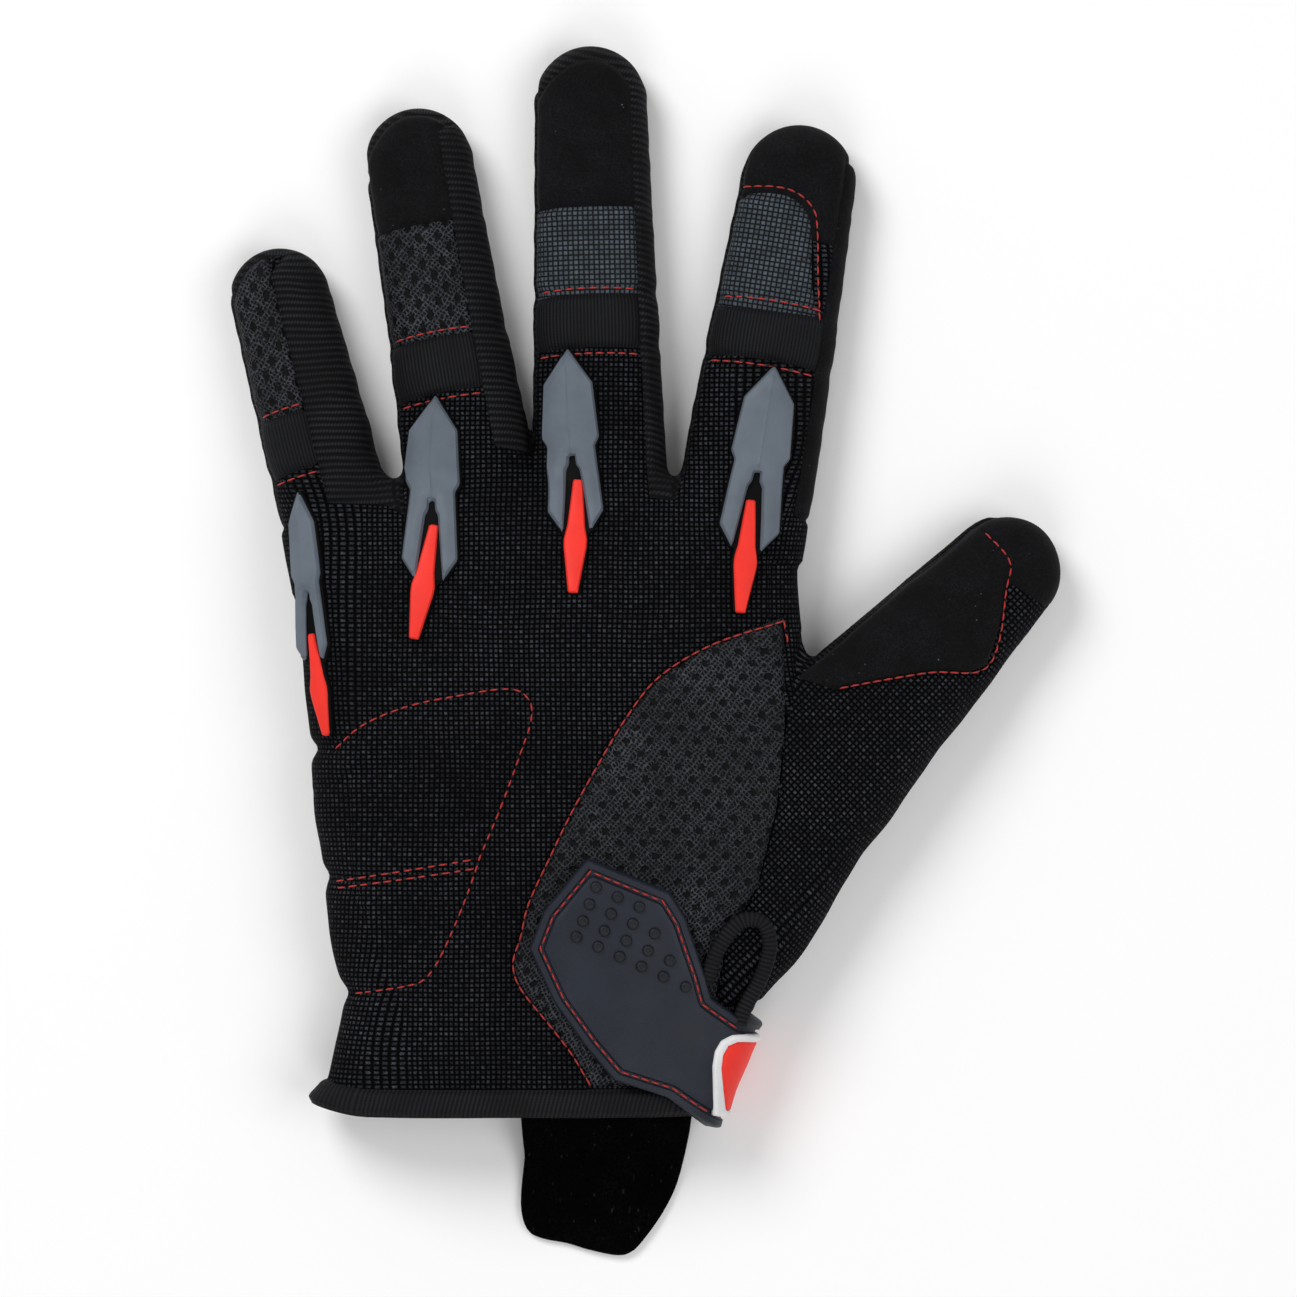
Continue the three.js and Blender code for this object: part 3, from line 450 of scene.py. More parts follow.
PALM_PATCH = curve_through([
    (-59.1, 25.5), (-58.5, 42.8), (-55.9, 49), (-51.2, 50.2), (-46.6, 47.6), (-43.3, 41), (-40, 36.4),
    (-35.4, 35.4), (-32.4, 36.6), (-30.2, 40), (-28.9, 44), (-27.6, 49.6), (-23.6, 53.8), (-20.3, 54.4),
    (-16, 52.3), (-12.8, 47), (-9.8, 44.1), (-6.2, 44), (-2.9, 46), (-1.2, 49.2), (-0.4, 52.8),
    (2.7, 57.4), (8.1, 59.1), (12.2, 57.8), (14.5, 54), (16, 49.4), (19, 45.4), (22, 44), (26.4, 45.2),
    (28.8, 49.4), (30.7, 55), (33.4, 61.4), (36.6, 64), (42.4, 64), (47.2, 61.6), (48.4, 57.4),
    (47.1, 48.3), (45, 36), (42.6, 19.2), (42.4, 9), (44, 4.4), (48.5, 2.6), (56, 5.5), (64, 11),
    (80, 24.2), (96, 38), (103, 41), (107, 37), (101, 25.5), (85.8, 10), (69.6, -5), (58.6, -14.4),
    (56.4, -14.6), (53.6, -6.4), (51.6, -5), (30, -9.8), (27.6, -8.6), (17.4, 7.3), (11.6, 20.6),
    (8.4, 26), (2.4, 28.6), (-24.6, 26), (-29.6, 24.6), (-30.9, 20), (-28.5, -10.5), (-26.6, -14),
    (-23, -14.9), (-2.7, -13.8), (20.1, -16.8), (26.2, -23.1), (25.4, -36.9), (20, -48), (3.6, -55),
    (-15.3, -58.6), (-37.8, -57), (-47, -50), (-53.4, -33.3), (-56.1, -18.3),
], steps=4)
STRAP_ABOVE = curve_through([
    (8.1, -37.5), (27, -45.3), (30.6, -51.3), (34.8, -64.2), (36, -69.3), (42, -74), (70, -76),
    (70, -100), (36, -101.1), (32.4, -98), (25.8, -92.7), (14, -88.8), (7.8, -81.3), (0.6, -70.8),
    (-5.1, -58.2), (-1.8, -49.5),
], steps=1)
STRAP_BELOW = curve_through([
    (70, -76), (70, -100), (36, -99.5), (10, -96), (3, -94.5), (-1.5, -91), (-3, -84), (-1.5, -74),
    (2, -70.5), (12, -69.5), (40, -74),
], steps=4)
BADGE_ABOVE = np.array([
    (44, -76.9), (39.6, -77.5), (37.2, -79), (35.7, -81.6), (35, -85), (34.8, -89), (34.5, -93),
    (34.2, -97), (70, -97), (70, -76.9),
])
BADGE_BELOW = curve_through([
    (70, -77.6), (70, -97), (40, -96.2), (12, -91.8), (5.4, -89), (3.5, -83), (5.4, -76.6), (12, -74.6),
    (38, -77.6),
], steps=4)
HOOK_PATCH = np.array([(-11.5, -92.4), (0, -93.6), (0, -80.4), (-11.5, -79.8)])

INDEX_CORNER = curve_through([
    (44.4, 116.6), (53.6, 116), (59, 112), (60.2, 105.6), (60.3, 96), (61.2, 90),
], False, 3)
INDEX_STITCH = curve_through([
    (43.5, 118.2), (54.3, 117.4), (60.4, 113.1), (61.6, 106.2), (61.7, 96.3), (62.4, 86.4),
], False, 3)

# Side strips: the fingers on their left and right, then x and y of their lower end
WEBS = {
    "side_little_outer": (None, "little", -68, 46),
    "side_little_ring": ("little", "ring", -38.2, 48),
    "side_ring_middle": ("ring", "middle", -5.6, 60),
    "side_middle_index": ("middle", "index", 28.2, 49),
    "side_index_outer": ("index", None, 64, 47),
}
# Side strips that turn over a fingertip: the finger, and the share of its tip's ellipse where they start
WRAPS = {
    "side_middle_index": ("middle", 0.75),
    "side_ring_middle": ("ring", 0.88),
    "side_little_ring": ("little", 0.86),
}
# An outline that stands for all that is left, and plan shares well past a finger's side and tip
EVERY = "every"
PAST_SIDE, PAST_TIP = 1.6, -10
INDEX_CAP_EXTRA = 8


def panel_rows():
    """The panels in cutting order: name, outline from above, outline from below."""
    rows = [(name, *web_outlines(*row)) for name, row in WEBS.items()]
    for name in FINGERS:
        f = finger(name)
        right, cap = f["seam"], f["cap"]
        last = name == "index"
        if cap:
            cap_shape = strip(name, -PAST_SIDE, PAST_SIDE if last else right + 0.6, PAST_TIP,
                              cap + (INDEX_CAP_EXTRA if last else 0))
            rows.append((f"tip_cap_{name}", cap_shape, None))
        kind = "mesh_panel" if name in ("little", "ring") else "print_panel"
        shape = strip(name, -PAST_SIDE, right + 0.02, cap or PAST_TIP, f["band"])
        if last:
            shape = np.array([on_finger(name, -PAST_SIDE, cap), on_finger(name, -0.9, cap), *INDEX_CORNER,
                              on_finger(name, right, f["band"]), on_finger(name, -PAST_SIDE, f["band"])])
        rows.append((f"{kind}_{name}", shape, None))
        band = strip(name, -PAST_SIDE, right + 0.02, f["band"], f["band_end"])
        rows.append((f"knuckle_band_{name}", band, None))
    return rows + [
        ("hand_mesh_panel", MESH_PANEL, None),
        ("thumb_patch", THUMB_PATCH, None),
        ("thumb_back", THUMB_BACK, None),
        ("thumb_gusset", None, GUSSET),
        ("wrist_elastic", None, WRIST_PANEL),
        ("back_panel", EVERY, None),
        ("palm_leather", None, EVERY),
    ]


def region_field(points, above, below, limit=3.0):
    """How far points are inside a panel, eased from its lower outline to its upper one across the side."""
    x, y, z = points.T
    t = ((z - SEAM_Z) / 3.0 + 0.5).clip(0, 1)
    t = t * t * (3 - 2 * t)
    parts = []
    for outline in (above, below):
        if outline is None:
            parts.append(np.full(len(x), -limit))
        elif isinstance(outline, str):
            parts.append(np.full(len(x), limit))
        else:
            parts.append(outline_field(x, y, outline, limit))
    return parts[1] + (parts[0] - parts[1]) * t


# Cutting and thickening of surfaces held as arrays: one row of values a point, three numbers a face

def split(rows, faces, value):
    """Faces cut along value = 0: the cut rows and faces, and which faces lie on the positive side."""
    value = np.where(np.abs(value) < 2e-3, 2e-3, value)
    above = value > 0
    count = above[faces].sum(1)
    whole = faces[(count == 0) | (count == 3)]
    whole_up = above[whole[:, 0]]
    mixed = faces[(count == 1) | (count == 2)]
    if not len(mixed):
        return rows, faces, above[faces[:, 0]]
    odd_up = above[mixed].sum(1) == 1
    odd = np.argmax(above[mixed] == odd_up[:, None], axis=1)
    turn = (odd[:, None] + np.arange(3)) % 3
    a, b, c = np.take_along_axis(mixed, turn, 1).T
    pairs = np.sort(np.concatenate((np.column_stack((a, b)), np.column_stack((a, c)))), axis=1)
    unique, back = np.unique(pairs, axis=0, return_inverse=True)
    back = back.ravel()
    v0, v1 = value[unique[:, 0]], value[unique[:, 1]]
    t = (v0 / (v0 - v1))[:, None]
    new = rows[unique[:, 0]] * (1 - t) + rows[unique[:, 1]] * t
    ab = back[:len(a)] + len(rows)
    ac = back[len(a):] + len(rows)
    faces = np.concatenate((whole, np.column_stack((a, ab, ac)), np.column_stack((ab, b, c)),
                            np.column_stack((ab, c, ac))))
    up = np.concatenate((whole_up, odd_up, ~odd_up, ~odd_up))
    return np.concatenate((rows, new)), faces, up


def compact(rows, faces):
    """The same faces with unused points left out."""
    used = np.unique(faces)
    renumber = np.full(len(rows), -1)
    renumber[used] = np.arange(len(used))
    return rows[used], renumber[faces]


def keep_inside(rows, faces, value):
    """The part of a surface where value is above zero, cut exactly at zero."""
    near = (value[faces] > 0).any(1)
    faces = faces[near]
    rows2, faces2, up = split(rows, faces, value)
    return compact(rows2, faces2[up])


def rim_edges(faces):
    """Directed edges that belong to one face only."""
    edges = np.concatenate((faces[:, (0, 1)], faces[:, (1, 2)], faces[:, (2, 0)]))
    key = edges[:, 0].astype(np.int64) * (edges.max() + 1) + edges[:, 1]
    mirror = edges[:, 1].astype(np.int64) * (edges.max() + 1) + edges[:, 0]
    return edges[~np.isin(key, mirror)]


def thicken(faces, count):
    """Faces of a closed layer: the outer side, the inner side turned over, and the wall along the rim."""
    rim = rim_edges(faces)
    a, b = rim.T
    wall = np.concatenate((np.column_stack((b, a, a + count)), np.column_stack((b, a + count, b + count))))
    return np.concatenate((faces, faces[:, ::-1] + count, wall))


def make_piece(name, material, points, faces, cloth=None, marks=None):
    """A mesh object from arrays: points in drawing millimetres, faces as one index array or more."""
    faces = [np.asarray(f) for f in (faces if isinstance(faces, list) else [faces]) if len(f)]
    mesh = bpy.data.meshes.new(name)
    place = np.asarray(points, float) + (0, ORIGIN_Y, 0)
    mesh.vertices.add(len(place))
    mesh.vertices.foreach_set("co", (place * MM).astype(np.float32).ravel())
    loops = np.concatenate([f.ravel() for f in faces]).astype(np.int32)
    sizes = np.concatenate([np.full(len(f), f.shape[1]) for f in faces])
    mesh.loops.add(len(loops))
    mesh.loops.foreach_set("vertex_index", loops)
    mesh.polygons.add(len(sizes))
    starts = np.concatenate(([0], np.cumsum(sizes)[:-1])).astype(np.int32)
    mesh.polygons.foreach_set("loop_start", starts)
    mesh.polygons.foreach_set("use_smooth", np.full(len(sizes), True))
    mesh.update(calc_edges=True)
    if cloth is not None:
        coordinates = mesh.uv_layers.new(name="cloth")
        coordinates.data.foreach_set("uv", np.asarray(cloth, np.float32)[loops].ravel())
    if marks is not None:
        attribute = mesh.attributes.new("mark", "FLOAT", "POINT")
        attribute.data.foreach_set("value", np.asarray(marks, np.float32))
    mesh.validate()
    mesh.materials.append(material)
    piece = bpy.data.objects.new(name, mesh)
    bpy.context.scene.collection.objects.link(piece)
    return piece


def install(piece, slot, *nodes):
    """A finished piece: it rides on the one body and stands for its CAD nodes."""
    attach(piece, "root")
    if nodes:
        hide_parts(*nodes)
    return piece


# Places on the form

def arc_side(u, z, half, low, top, under=False):
    """Distance round a section from its crown or its underside: across, then down or up the side."""
    middle = low + MIDDLE * (top - low)
    share = 0.85 if under else 0.8
    across, past = np.minimum(np.abs(u), share * half), np.maximum(np.abs(u) - share * half, 0)
    if under:
        return np.sign(u) * (across + 0.6 * past + np.maximum(z - low - 0.5, 0))
    edge_z = middle + (top - middle) * (1 - share ** UP_POWER) ** (1 / UP_POWER)
    return np.sign(u) * (across + 0.6 * past + np.maximum(edge_z - z, 0) * (past > 0))


def cloth_place(points, source, under=False):
    """Cloth coordinates in millimetres: round the section, and along the finger, thumb or hand."""
    x, y, z = points.T
    if source == "plan":
        return np.column_stack((x, y))
    if source == "thumb":
        u, v, half, low, top = thumb_plan(x, y)[:5]
    elif source in ("hand", "back"):
        u, half, low, top = hand_plan(x, y)
        u, v = (u if source == "hand" else x - 3), y
    elif source == "near":
        best = np.full(len(x), 1e9)
        kept = tuple(np.zeros(len(x)) for _ in range(5))
        for name in FINGERS:
            row = finger_plan(name, x, y)[:5]
            share = np.abs(row[0]) / row[2]
            nearer = share < best
            best = np.where(nearer, share, best)
            kept = tuple(np.where(nearer, new, old) for new, old in zip(row, kept))
        u, v, half, low, top = kept
    else:
        u, v, half, low, top = finger_plan(source, x, y)[:5]
    return np.column_stack((arc_side(u, z, half, low, top, under), v))


def surface_at(x, y, side="top", offset=0.0, above=36, below=-4, count=101):
    """The form's outer point over plan points, moved out by an offset. Returns points and directions."""
    heights = np.linspace(above, below, count) if side == "top" else np.linspace(below, above, count)
    value = glove_field(x[:, None], y[:, None], heights[None, :])
    inside = value < 0
    first = np.argmax(inside, axis=1).clip(1)
    rows = np.arange(len(x))
    va, vb = value[rows, first - 1], value[rows, first]
    t = (va / np.where(va == vb, 1, va - vb)).clip(0, 1)
    z = heights[first - 1] + (heights[first] - heights[first - 1]) * t
    points = np.column_stack((x, y, np.where(inside.any(1), z, SEAM_Z)))
    for _ in range(3):
        value, direction, size = field_slope(points)
        points[:, 2] -= (value / size * direction[:, 2]).clip(-0.5, 0.5)
    direction = field_slope(points)[1]
    return points + direction * offset, direction


# Shader maths

def maths(operation, swap=False):
    """A method that adds one Math node, with the operands turned round for a reflected form."""

    def method(self, *others):
        values = (*others, self) if swap else (self, *others)
        return self.maker.node("ShaderNodeMath", dict(operation=operation), dict(enumerate(values)))

    return method


class Value:
    """A shader socket that adds its own Math nodes when it is used in an expression."""

    def __init__(self, maker, socket):
        self.maker, self.socket = maker, socket

    __add__ = __radd__ = maths("ADD")
    __sub__ = maths("SUBTRACT")
    __rsub__ = maths("SUBTRACT", swap=True)
    __mul__ = __rmul__ = maths("MULTIPLY")
    __truediv__ = maths("DIVIDE")
    __pow__ = maths("POWER")
    sin = maths("SINE")
    floor = maths("FLOOR")
    fract = maths("FRACT")
    sqrt = maths("SQRT")
    least = maths("MINIMUM")
    most = maths("MAXIMUM")

    def step(self, low, high, a=0.0, b=1.0):
        """A smooth step: a below low, b above high."""
        return self.maker.node("ShaderNodeMapRange", dict(interpolation_type="SMOOTHSTEP", clamp=True),
                               {"Value": self, "From Min": low, "From Max": high, "To Min": a, "To Max": b})


class Finish:
    """One material: its nodes, the values that patterns read, and its shader."""

    def __init__(self, name):
        self.material = bpy.data.materials.new(name)
        self.material.use_nodes = True
        self.tree = self.material.node_tree
        self.shader = self.tree.nodes["Principled BSDF"]
        self.cached = {}

    def node(self, kind, settings=None, inputs=None, output=0):
        """Add a node, set its settings first, then give its sockets values or links."""
        made = self.tree.nodes.new(kind)
        for key, value in (settings or {}).items():
            setattr(made, key, value)
        for key, value in (inputs or {}).items():
            if isinstance(value, Value):
                self.tree.links.new(value.socket, made.inputs[key])
            else:
                made.inputs[key].default_value = value
        return Value(self, made.outputs[output])

    def cloth(self):
        """The two cloth coordinates in millimetres."""
        if "cloth" not in self.cached:
            place = self.node("ShaderNodeUVMap", dict(uv_map="cloth"))
            self.cached["cloth"] = (self.node("ShaderNodeSeparateXYZ", None, {0: place}, 0),
                                    self.node("ShaderNodeSeparateXYZ", None, {0: place}, 1))
        return self.cached["cloth"]

    def place(self):
        """Object coordinates."""
        if "place" not in self.cached:
            self.cached["place"] = self.node("ShaderNodeTexCoord", None, None, "Object")
        return self.cached["place"]

    def attribute(self, name):
        """A value that the mesh holds at each of its points."""
        return self.node("ShaderNodeAttribute", dict(attribute_name=name), None, "Fac")

    def noise(self, size, detail=2.0, rough=0.5, stretch=(1, 1, 1)):
        """Soft noise whose lumps are about size millimetres across."""
        inputs = {"Vector": self.stretched(stretch), "Scale": 1.0 / size}
        return self.node("ShaderNodeTexNoise", None, {**inputs, "Detail": detail, "Roughness": rough})

    def cells(self, size, feature="F1", jitter=1.0, stretch=(1, 1, 1)):
        """Distances in cell noise whose cells are about size millimetres across."""
        inputs = {"Vector": self.stretched(stretch), "Scale": 1.0 / size, "Randomness": jitter}
        return self.node("ShaderNodeTexVoronoi", dict(feature=feature), inputs, "Distance")

    def stretched(self, stretch):
        """Object coordinates in millimetres, stretched along the axes."""
        return self.node("ShaderNodeMapping", None, {0: self.place(), "Scale": [s / MM for s in stretch]})

    def blend(self, amount, a, b):
        """A colour between two colours."""
        return self.node("ShaderNodeMix", dict(data_type="RGBA"), {0: amount, 6: a, 7: b}, 2)

    def finish(self, colour, rough, height, depth, sheen=0.0, sheen_rough=0.5, specular=0.5):
        """Link colour, roughness and relief, with the relief's depth in millimetres."""
        shader = self.shader.inputs
        for key, value in (("Base Color", colour), ("Roughness", rough)):
            if isinstance(value, Value):
                self.tree.links.new(value.socket, shader[key])
            else:
                shader[key].default_value = value
        shader["Sheen Weight"].default_value = sheen
        shader["Sheen Roughness"].default_value = sheen_rough
        shader["Specular IOR Level"].default_value = specular
        inputs = {"Strength": 1.0, "Distance": depth * MM, "Height": height}
        bump = self.node("ShaderNodeBump", None, inputs, "Normal")
        self.tree.links.new(bump.socket, shader["Normal"])
        return self.material


def shade(text, gain=1.0):
    """A scene colour from a six-figure colour word."""
    parts = [int(text[k:k + 2], 16) / 255 for k in (1, 3, 5)]
    line = [p / 12.92 if p <= 0.04045 else ((p + 0.055) / 1.055) ** 2.4 for p in parts]
    return (*(min(p * gain, 1) for p in line), 1.0)


def dim(colour, gain=1.0):
    """A colour of three or four parts, made darker by a gain."""
    return (*(part * gain for part in tuple(colour)[:3]), 1.0)


def wave(value, period):
    """A cosine-like wave from 0 to 1."""
    return (value * (TAU / period)).sin() * 0.5 + 0.5


def woven_finish():
    """Basket weave: rows of small rounded cushions parted by black gaps, lit unevenly thread by thread."""
    m = Finish("woven_cloth")
    u, v = m.cloth()
    sway = m.noise(30.0, 1.0) * 1.6
    a, b = (u + sway) / 1.18, (v + sway * 0.6) / 1.12
    odd = ((a.floor() + b.floor()) * 0.5).fract() * 2.0
    across = (a.fract() * math.pi).sin()
    along = (b.fract() * math.pi).sin()
    cushion = across.least(along).most(0.001).sqrt()
    thread = wave(a + b * 0.5, 0.34) * 0.14
    height = cushion * (0.92 + 0.08 * odd) + thread
    # Painted highlight on the cushion crests, broken into small patches thread by thread
    highlight_patches = m.noise(1.3, 2.0, 0.6).step(0.42, 0.7)
    broad = m.noise(26.0, 3.0).step(0.3, 0.7)
    lit = height.step(0.68, 1.02) ** 1.5 * (0.3 + 0.7 * highlight_patches) * (0.5 + 0.5 * broad)
    colour = m.blend(lit, shade("#010102"), shade("#474a51"))
    return m.finish(colour, 0.8, height, 0.34, specular=0.06)


def stretch_finish():
    """Knitted stretch cloth: ribs round the finger, each a row of small slanted loops."""
    m = Finish("stretch_knit")
    u, v = m.cloth()
    sway = m.noise(14.0, 1.0) * 1.8
    ribs = wave(v + u * 0.22 + sway, 1.55).most(0.001).sqrt()
    loops = wave(u - v * 0.6, 0.8)
    height = ribs * (0.72 + 0.28 * loops)
    broad = m.noise(12.0, 3.0).step(0.3, 0.7)
    lit = height.step(0.45, 1.0) * (0.45 + 0.55 * broad) * (0.6 + 0.4 * loops)
    colour = m.blend(lit, shade("#020203"), shade("#26282e"))
    return m.finish(colour, 0.8, height, 0.3, specular=0.16)


def elastic_finish(name, pitch, light):
    """Elastic tape: fine raised ribs along the cloth, crossed by faint rows of knit."""
    m = Finish(name)
    u, v = m.cloth()
    ribs = wave(u, pitch).most(0.001).sqrt()
    height = ribs * (0.85 + 0.15 * wave(v, 0.7))
    broad = m.noise(8.0, 3.0).step(0.3, 0.7)
    lit = height.step(0.4, 1.0) * (0.5 + 0.5 * broad)
    colour = m.blend(lit, shade("#050507"), shade(light))
    return m.finish(colour, 0.78, height, 0.16, specular=0.18)


def gusset_finish():
    """Coarse knit of grey-blue and black yarns."""
    m = Finish("coarse_knit")
    u, v = m.cloth()
    rows = wave(v + u * 0.1, 1.25)
    yarn = wave(u + v * 0.3, 1.15) * 0.6 + wave(u - v * 0.4, 0.9) * 0.4
    height = (rows * 0.5 + yarn * 0.5).most(0.02).sqrt()
    colour = m.blend(height.step(0.5, 0.95) * (0.4 + m.noise(3.0, 3.0)), shade("#040506"), shade("#31363f"))
    return m.finish(colour, 0.85, height, 0.3, specular=0.16)


def spacer_finish(name, pitch_u, pitch_v, size, tall, light):
    """Air mesh: staggered rows of dark oval holes in a net of fuzzy crossing yarns."""
    m = Finish(name)
    u, v = m.cloth()
    sway = m.noise(6.0, 2.0) * 0.9
    a, b = (u + sway) / pitch_u, (v + sway) / pitch_v
    shift = (b.floor() * 0.5).fract()
    fa, fb = (a + shift).fract() - 0.5, b.fract() - 0.5
    across, along = pitch_u * 2 / size, pitch_v * 2 / (size * tall)
    hole = 1.0 - ((fa * across) ** 2.0 + (fb * along) ** 2.0 + m.noise(0.7) - 0.5).step(0.3, 1.3)
    bent = m.noise(2.0, 2.0) * 1.6
    rising, falling = wave(u * 0.75 + v * 0.7 + bent, 0.92), wave(v * 0.72 - u * 0.74 + bent, 0.98)
    yarn = rising.most(falling).step(0.45, 0.98)
    fuzz = m.noise(0.7, 3.0, 0.8).step(0.44, 0.6)
    height = (1.0 - hole) * (0.75 + 0.25 * yarn)
    broad = m.noise(18.0, 2.0).step(0.3, 0.7)
    glint = m.cells(1.1).step(0.05, 0.16, 1.0, 0.0) * hole
    # Painted highlight on the yarns and a painted glint in the holes; the holes stay near black, partly the
    # dark layer below and partly painted shade in their depth
    lit = (1.0 - hole) * yarn * (0.34 + 0.66 * fuzz) * (0.55 + 0.45 * broad) + glint * 0.7
    colour = m.blend(lit.least(1.0), shade("#010102"), shade(light))
    return m.finish(colour, 0.7, height, 0.6, specular=0.14)


def dyed_finish():
    """The same weave dyed slate grey, with black gaps between its cushions."""
    m = Finish("dyed_cloth")
    u, v = m.cloth()
    a, b = u / 1.2, v / 1.15
    cushion = (a.fract() * math.pi).sin().least((b.fract() * math.pi).sin()).most(0.001).sqrt()
    odd = ((a.floor() + b.floor()) * 0.5).fract() * 2.0
    height = cushion * (0.85 + 0.15 * odd) + wave(a + b * 0.5, 0.34) * 0.12
    lit = height.step(0.5, 1.0) * (0.55 + 0.45 * m.noise(3.0, 3.0).step(0.3, 0.7))
    colour = m.blend(lit, shade("#07090b"), shade("#505a63"))
    return m.finish(colour, 0.75, height, 0.28, specular=0.2)


def suede_finish():
    """Brushed suede: short nap with soft lighter and darker strokes and a few pale flecks of dust."""
    m = Finish("black_suede")
    nap = m.noise(0.45, 3.0, 0.7)
    strokes = m.noise(8.0, 4.0, 0.65).step(0.3, 0.75)
    flecks = m.cells(2.6)
    fleck = 1.0 - flecks.step(0.04, 0.09)
    lit = nap.step(0.3, 0.8) * (0.35 + 0.65 * strokes)
    cloth = m.blend(lit, shade("#070708"), shade("#1d1e21"))
    colour = m.blend(fleck * m.noise(5.0).step(0.55, 0.62), cloth, shade("#5a5c60"))
    return m.finish(colour, 0.92, nap + strokes * 0.5, 0.14, sheen=0.03, sheen_rough=0.45, specular=0.1)


def pile_finish():
    """Looped pile: dense soft tufts with a few pale fibres."""
    m = Finish("loop_pile")
    tufts = m.cells(0.8)
    nap = m.noise(0.4, 3.0, 0.7)
    height = (1.0 - tufts) + nap * 0.5
    lit = (height - 0.55).most(0.0) * m.noise(9.0, 3.0).step(0.3, 0.75)
    cloth = m.blend(lit.least(1.0), shade("#010101"), shade("#101012"))
    fibre = m.noise(0.9, 1.0, 0.5, (1, 0.4, 1)).step(0.7, 0.76)
    colour = m.blend(fibre, cloth, shade("#1b1b1e"))
    return m.finish(colour, 1.0, height, 0.4, specular=0.04)


def leather_finish(name, base, light, size, depth, rough, tall, patchy, specular):
    """Grained leather: pebbles parted by creases, in broad patches of stronger and smoother grain."""
    m = Finish(name)
    stretch = (1, tall, 1)
    crease = m.cells(size, feature="DISTANCE_TO_EDGE", jitter=0.9, stretch=stretch)
    fine = m.cells(size * 0.42, feature="DISTANCE_TO_EDGE", stretch=stretch)
    pebble = crease.step(0.0, 0.3) * 0.7 + fine.step(0.0, 0.3) * 0.3
    broad = m.noise(11.0, 3.0, 0.6).step(0.35, 0.65)
    grain = pebble * (1.0 - patchy + patchy * broad)
    pits = m.noise(0.9, 2.0, 0.7).step(0.4, 0.65)
    mark = m.attribute("mark")
    height = grain + pits * 0.15 - mark * 0.6
    lit = grain ** 2.0 * (0.25 + 0.75 * pits)
    colour = m.blend(mark * 0.85, m.blend(lit, shade(base), shade(light)), shade("#010101"))
    return m.finish(colour, rough + 0.15 * (1.0 - pebble) + mark * 0.3, height, depth, specular=specular)


def moulded_finish(name, base, gain, rough, grain=0.35, depth=0.05, specular=0.3):
    """Moulded rubber: an even fine grain over broad, faintly darker clouds, with rougher scuffs."""
    m = Finish(name)
    fine = m.noise(grain, 2.0, 0.6)
    broad = m.noise(9.0, 3.0, 0.55)
    scuffs = m.noise(2.2, 4.0, 0.7, (1, 0.25, 1)).step(0.58, 0.75)
    colour = m.blend((broad.step(0.25, 0.75) * 0.75 + fine * 0.2).least(1.0), dim(base, gain), dim(base))
    return m.finish(colour, rough + 0.12 * fine + 0.08 * scuffs, fine, depth, specular=specular)


def thread_finish(name, base, gain):
    """Sewing thread: a tight twist along each stitch, with painted shade in a darker copy of its colour along
    the twist's grooves.
    """
    m = Finish(name)
    u, v = m.cloth()
    twist = wave(u + v, 0.5)
    # Painted shade: the twist's grooves take a darker copy of the thread colour
    colour = m.blend(twist * (0.6 + 0.4 * m.noise(2.0)), dim(base, gain), dim(base))
    return m.finish(colour, 0.6, twist, 0.05, sheen=0.1, specular=0.4)


def table_finish():
    """Matt pale table, faintly mottled."""
    m = Finish("pale_table")
    broad = m.noise(90.0, 2.0)
    colour = m.blend(broad, (0.93, 0.93, 0.93, 1), (0.95, 0.95, 0.95, 1))
    return m.finish(colour, 0.9, m.noise(0.8), 0.01, specular=0.2)


FINISHES = {}


def finishes():
    """All the materials, made once, with the colours of the settings."""
    if not FINISHES:
        glove = bpy.context.scene.glove
        FINISHES.update(
            woven=woven_finish(), stretch=stretch_finish(), gusset=gusset_finish(), dyed=dyed_finish(),
            elastic=elastic_finish("elastic_rib", 0.8, "#191b1f"), suede=suede_finish(), pile=pile_finish(),
            binding=elastic_finish("hem_tape", 1.0, "#1b1c21"),
            spacer=spacer_finish("air_mesh", 5.4, 2.95, 1.75, 0.9, "#46494f"),
            air=spacer_finish("finger_mesh", 4.6, 3.0, 1.45, 1.8, "#45484e"),
            palm=leather_finish("fine_leather", "#07080b", "#333841", 1.25, 0.16, 0.5, 1.8, 0.3, 0.22),
            patch=leather_finish("pebbled_leather", "#020203", "#282b31", 1.5, 0.34, 0.46, 1.9, 0.75, 0.2),
            guard=moulded_finish("guard_rubber", glove.guard_colour, 0.75, 0.5, specular=0.25),
            guard_base=moulded_finish("guard_base", shade("#050506"), 0.5, 0.6, specular=0.1),
            red=moulded_finish("red_rubber", glove.insert_colour, 0.85, 0.45, specular=0.2),
            white=moulded_finish("white_rubber", shade("#e8e8e9"), 0.82, 0.45),
            strap=moulded_finish("strap_rubber", glove.strap_colour, 0.62, 0.45, 0.3, 0.04),
            # The dots are a darker copy of the strap rubber: painted shade for their raised rims
            dots=moulded_finish("strap_dots", dim(glove.strap_colour, 0.6), 0.4, 0.5, 0.3, 0.04),
            # The gains set the darker copies of the threads that paint the shade in their twist
            red_thread=thread_finish("red_thread", glove.back_thread, 0.36),
            cream_thread=thread_finish("cream_thread", glove.palm_thread, 0.47),
        )
    return FINISHES


# Relief of the cloth

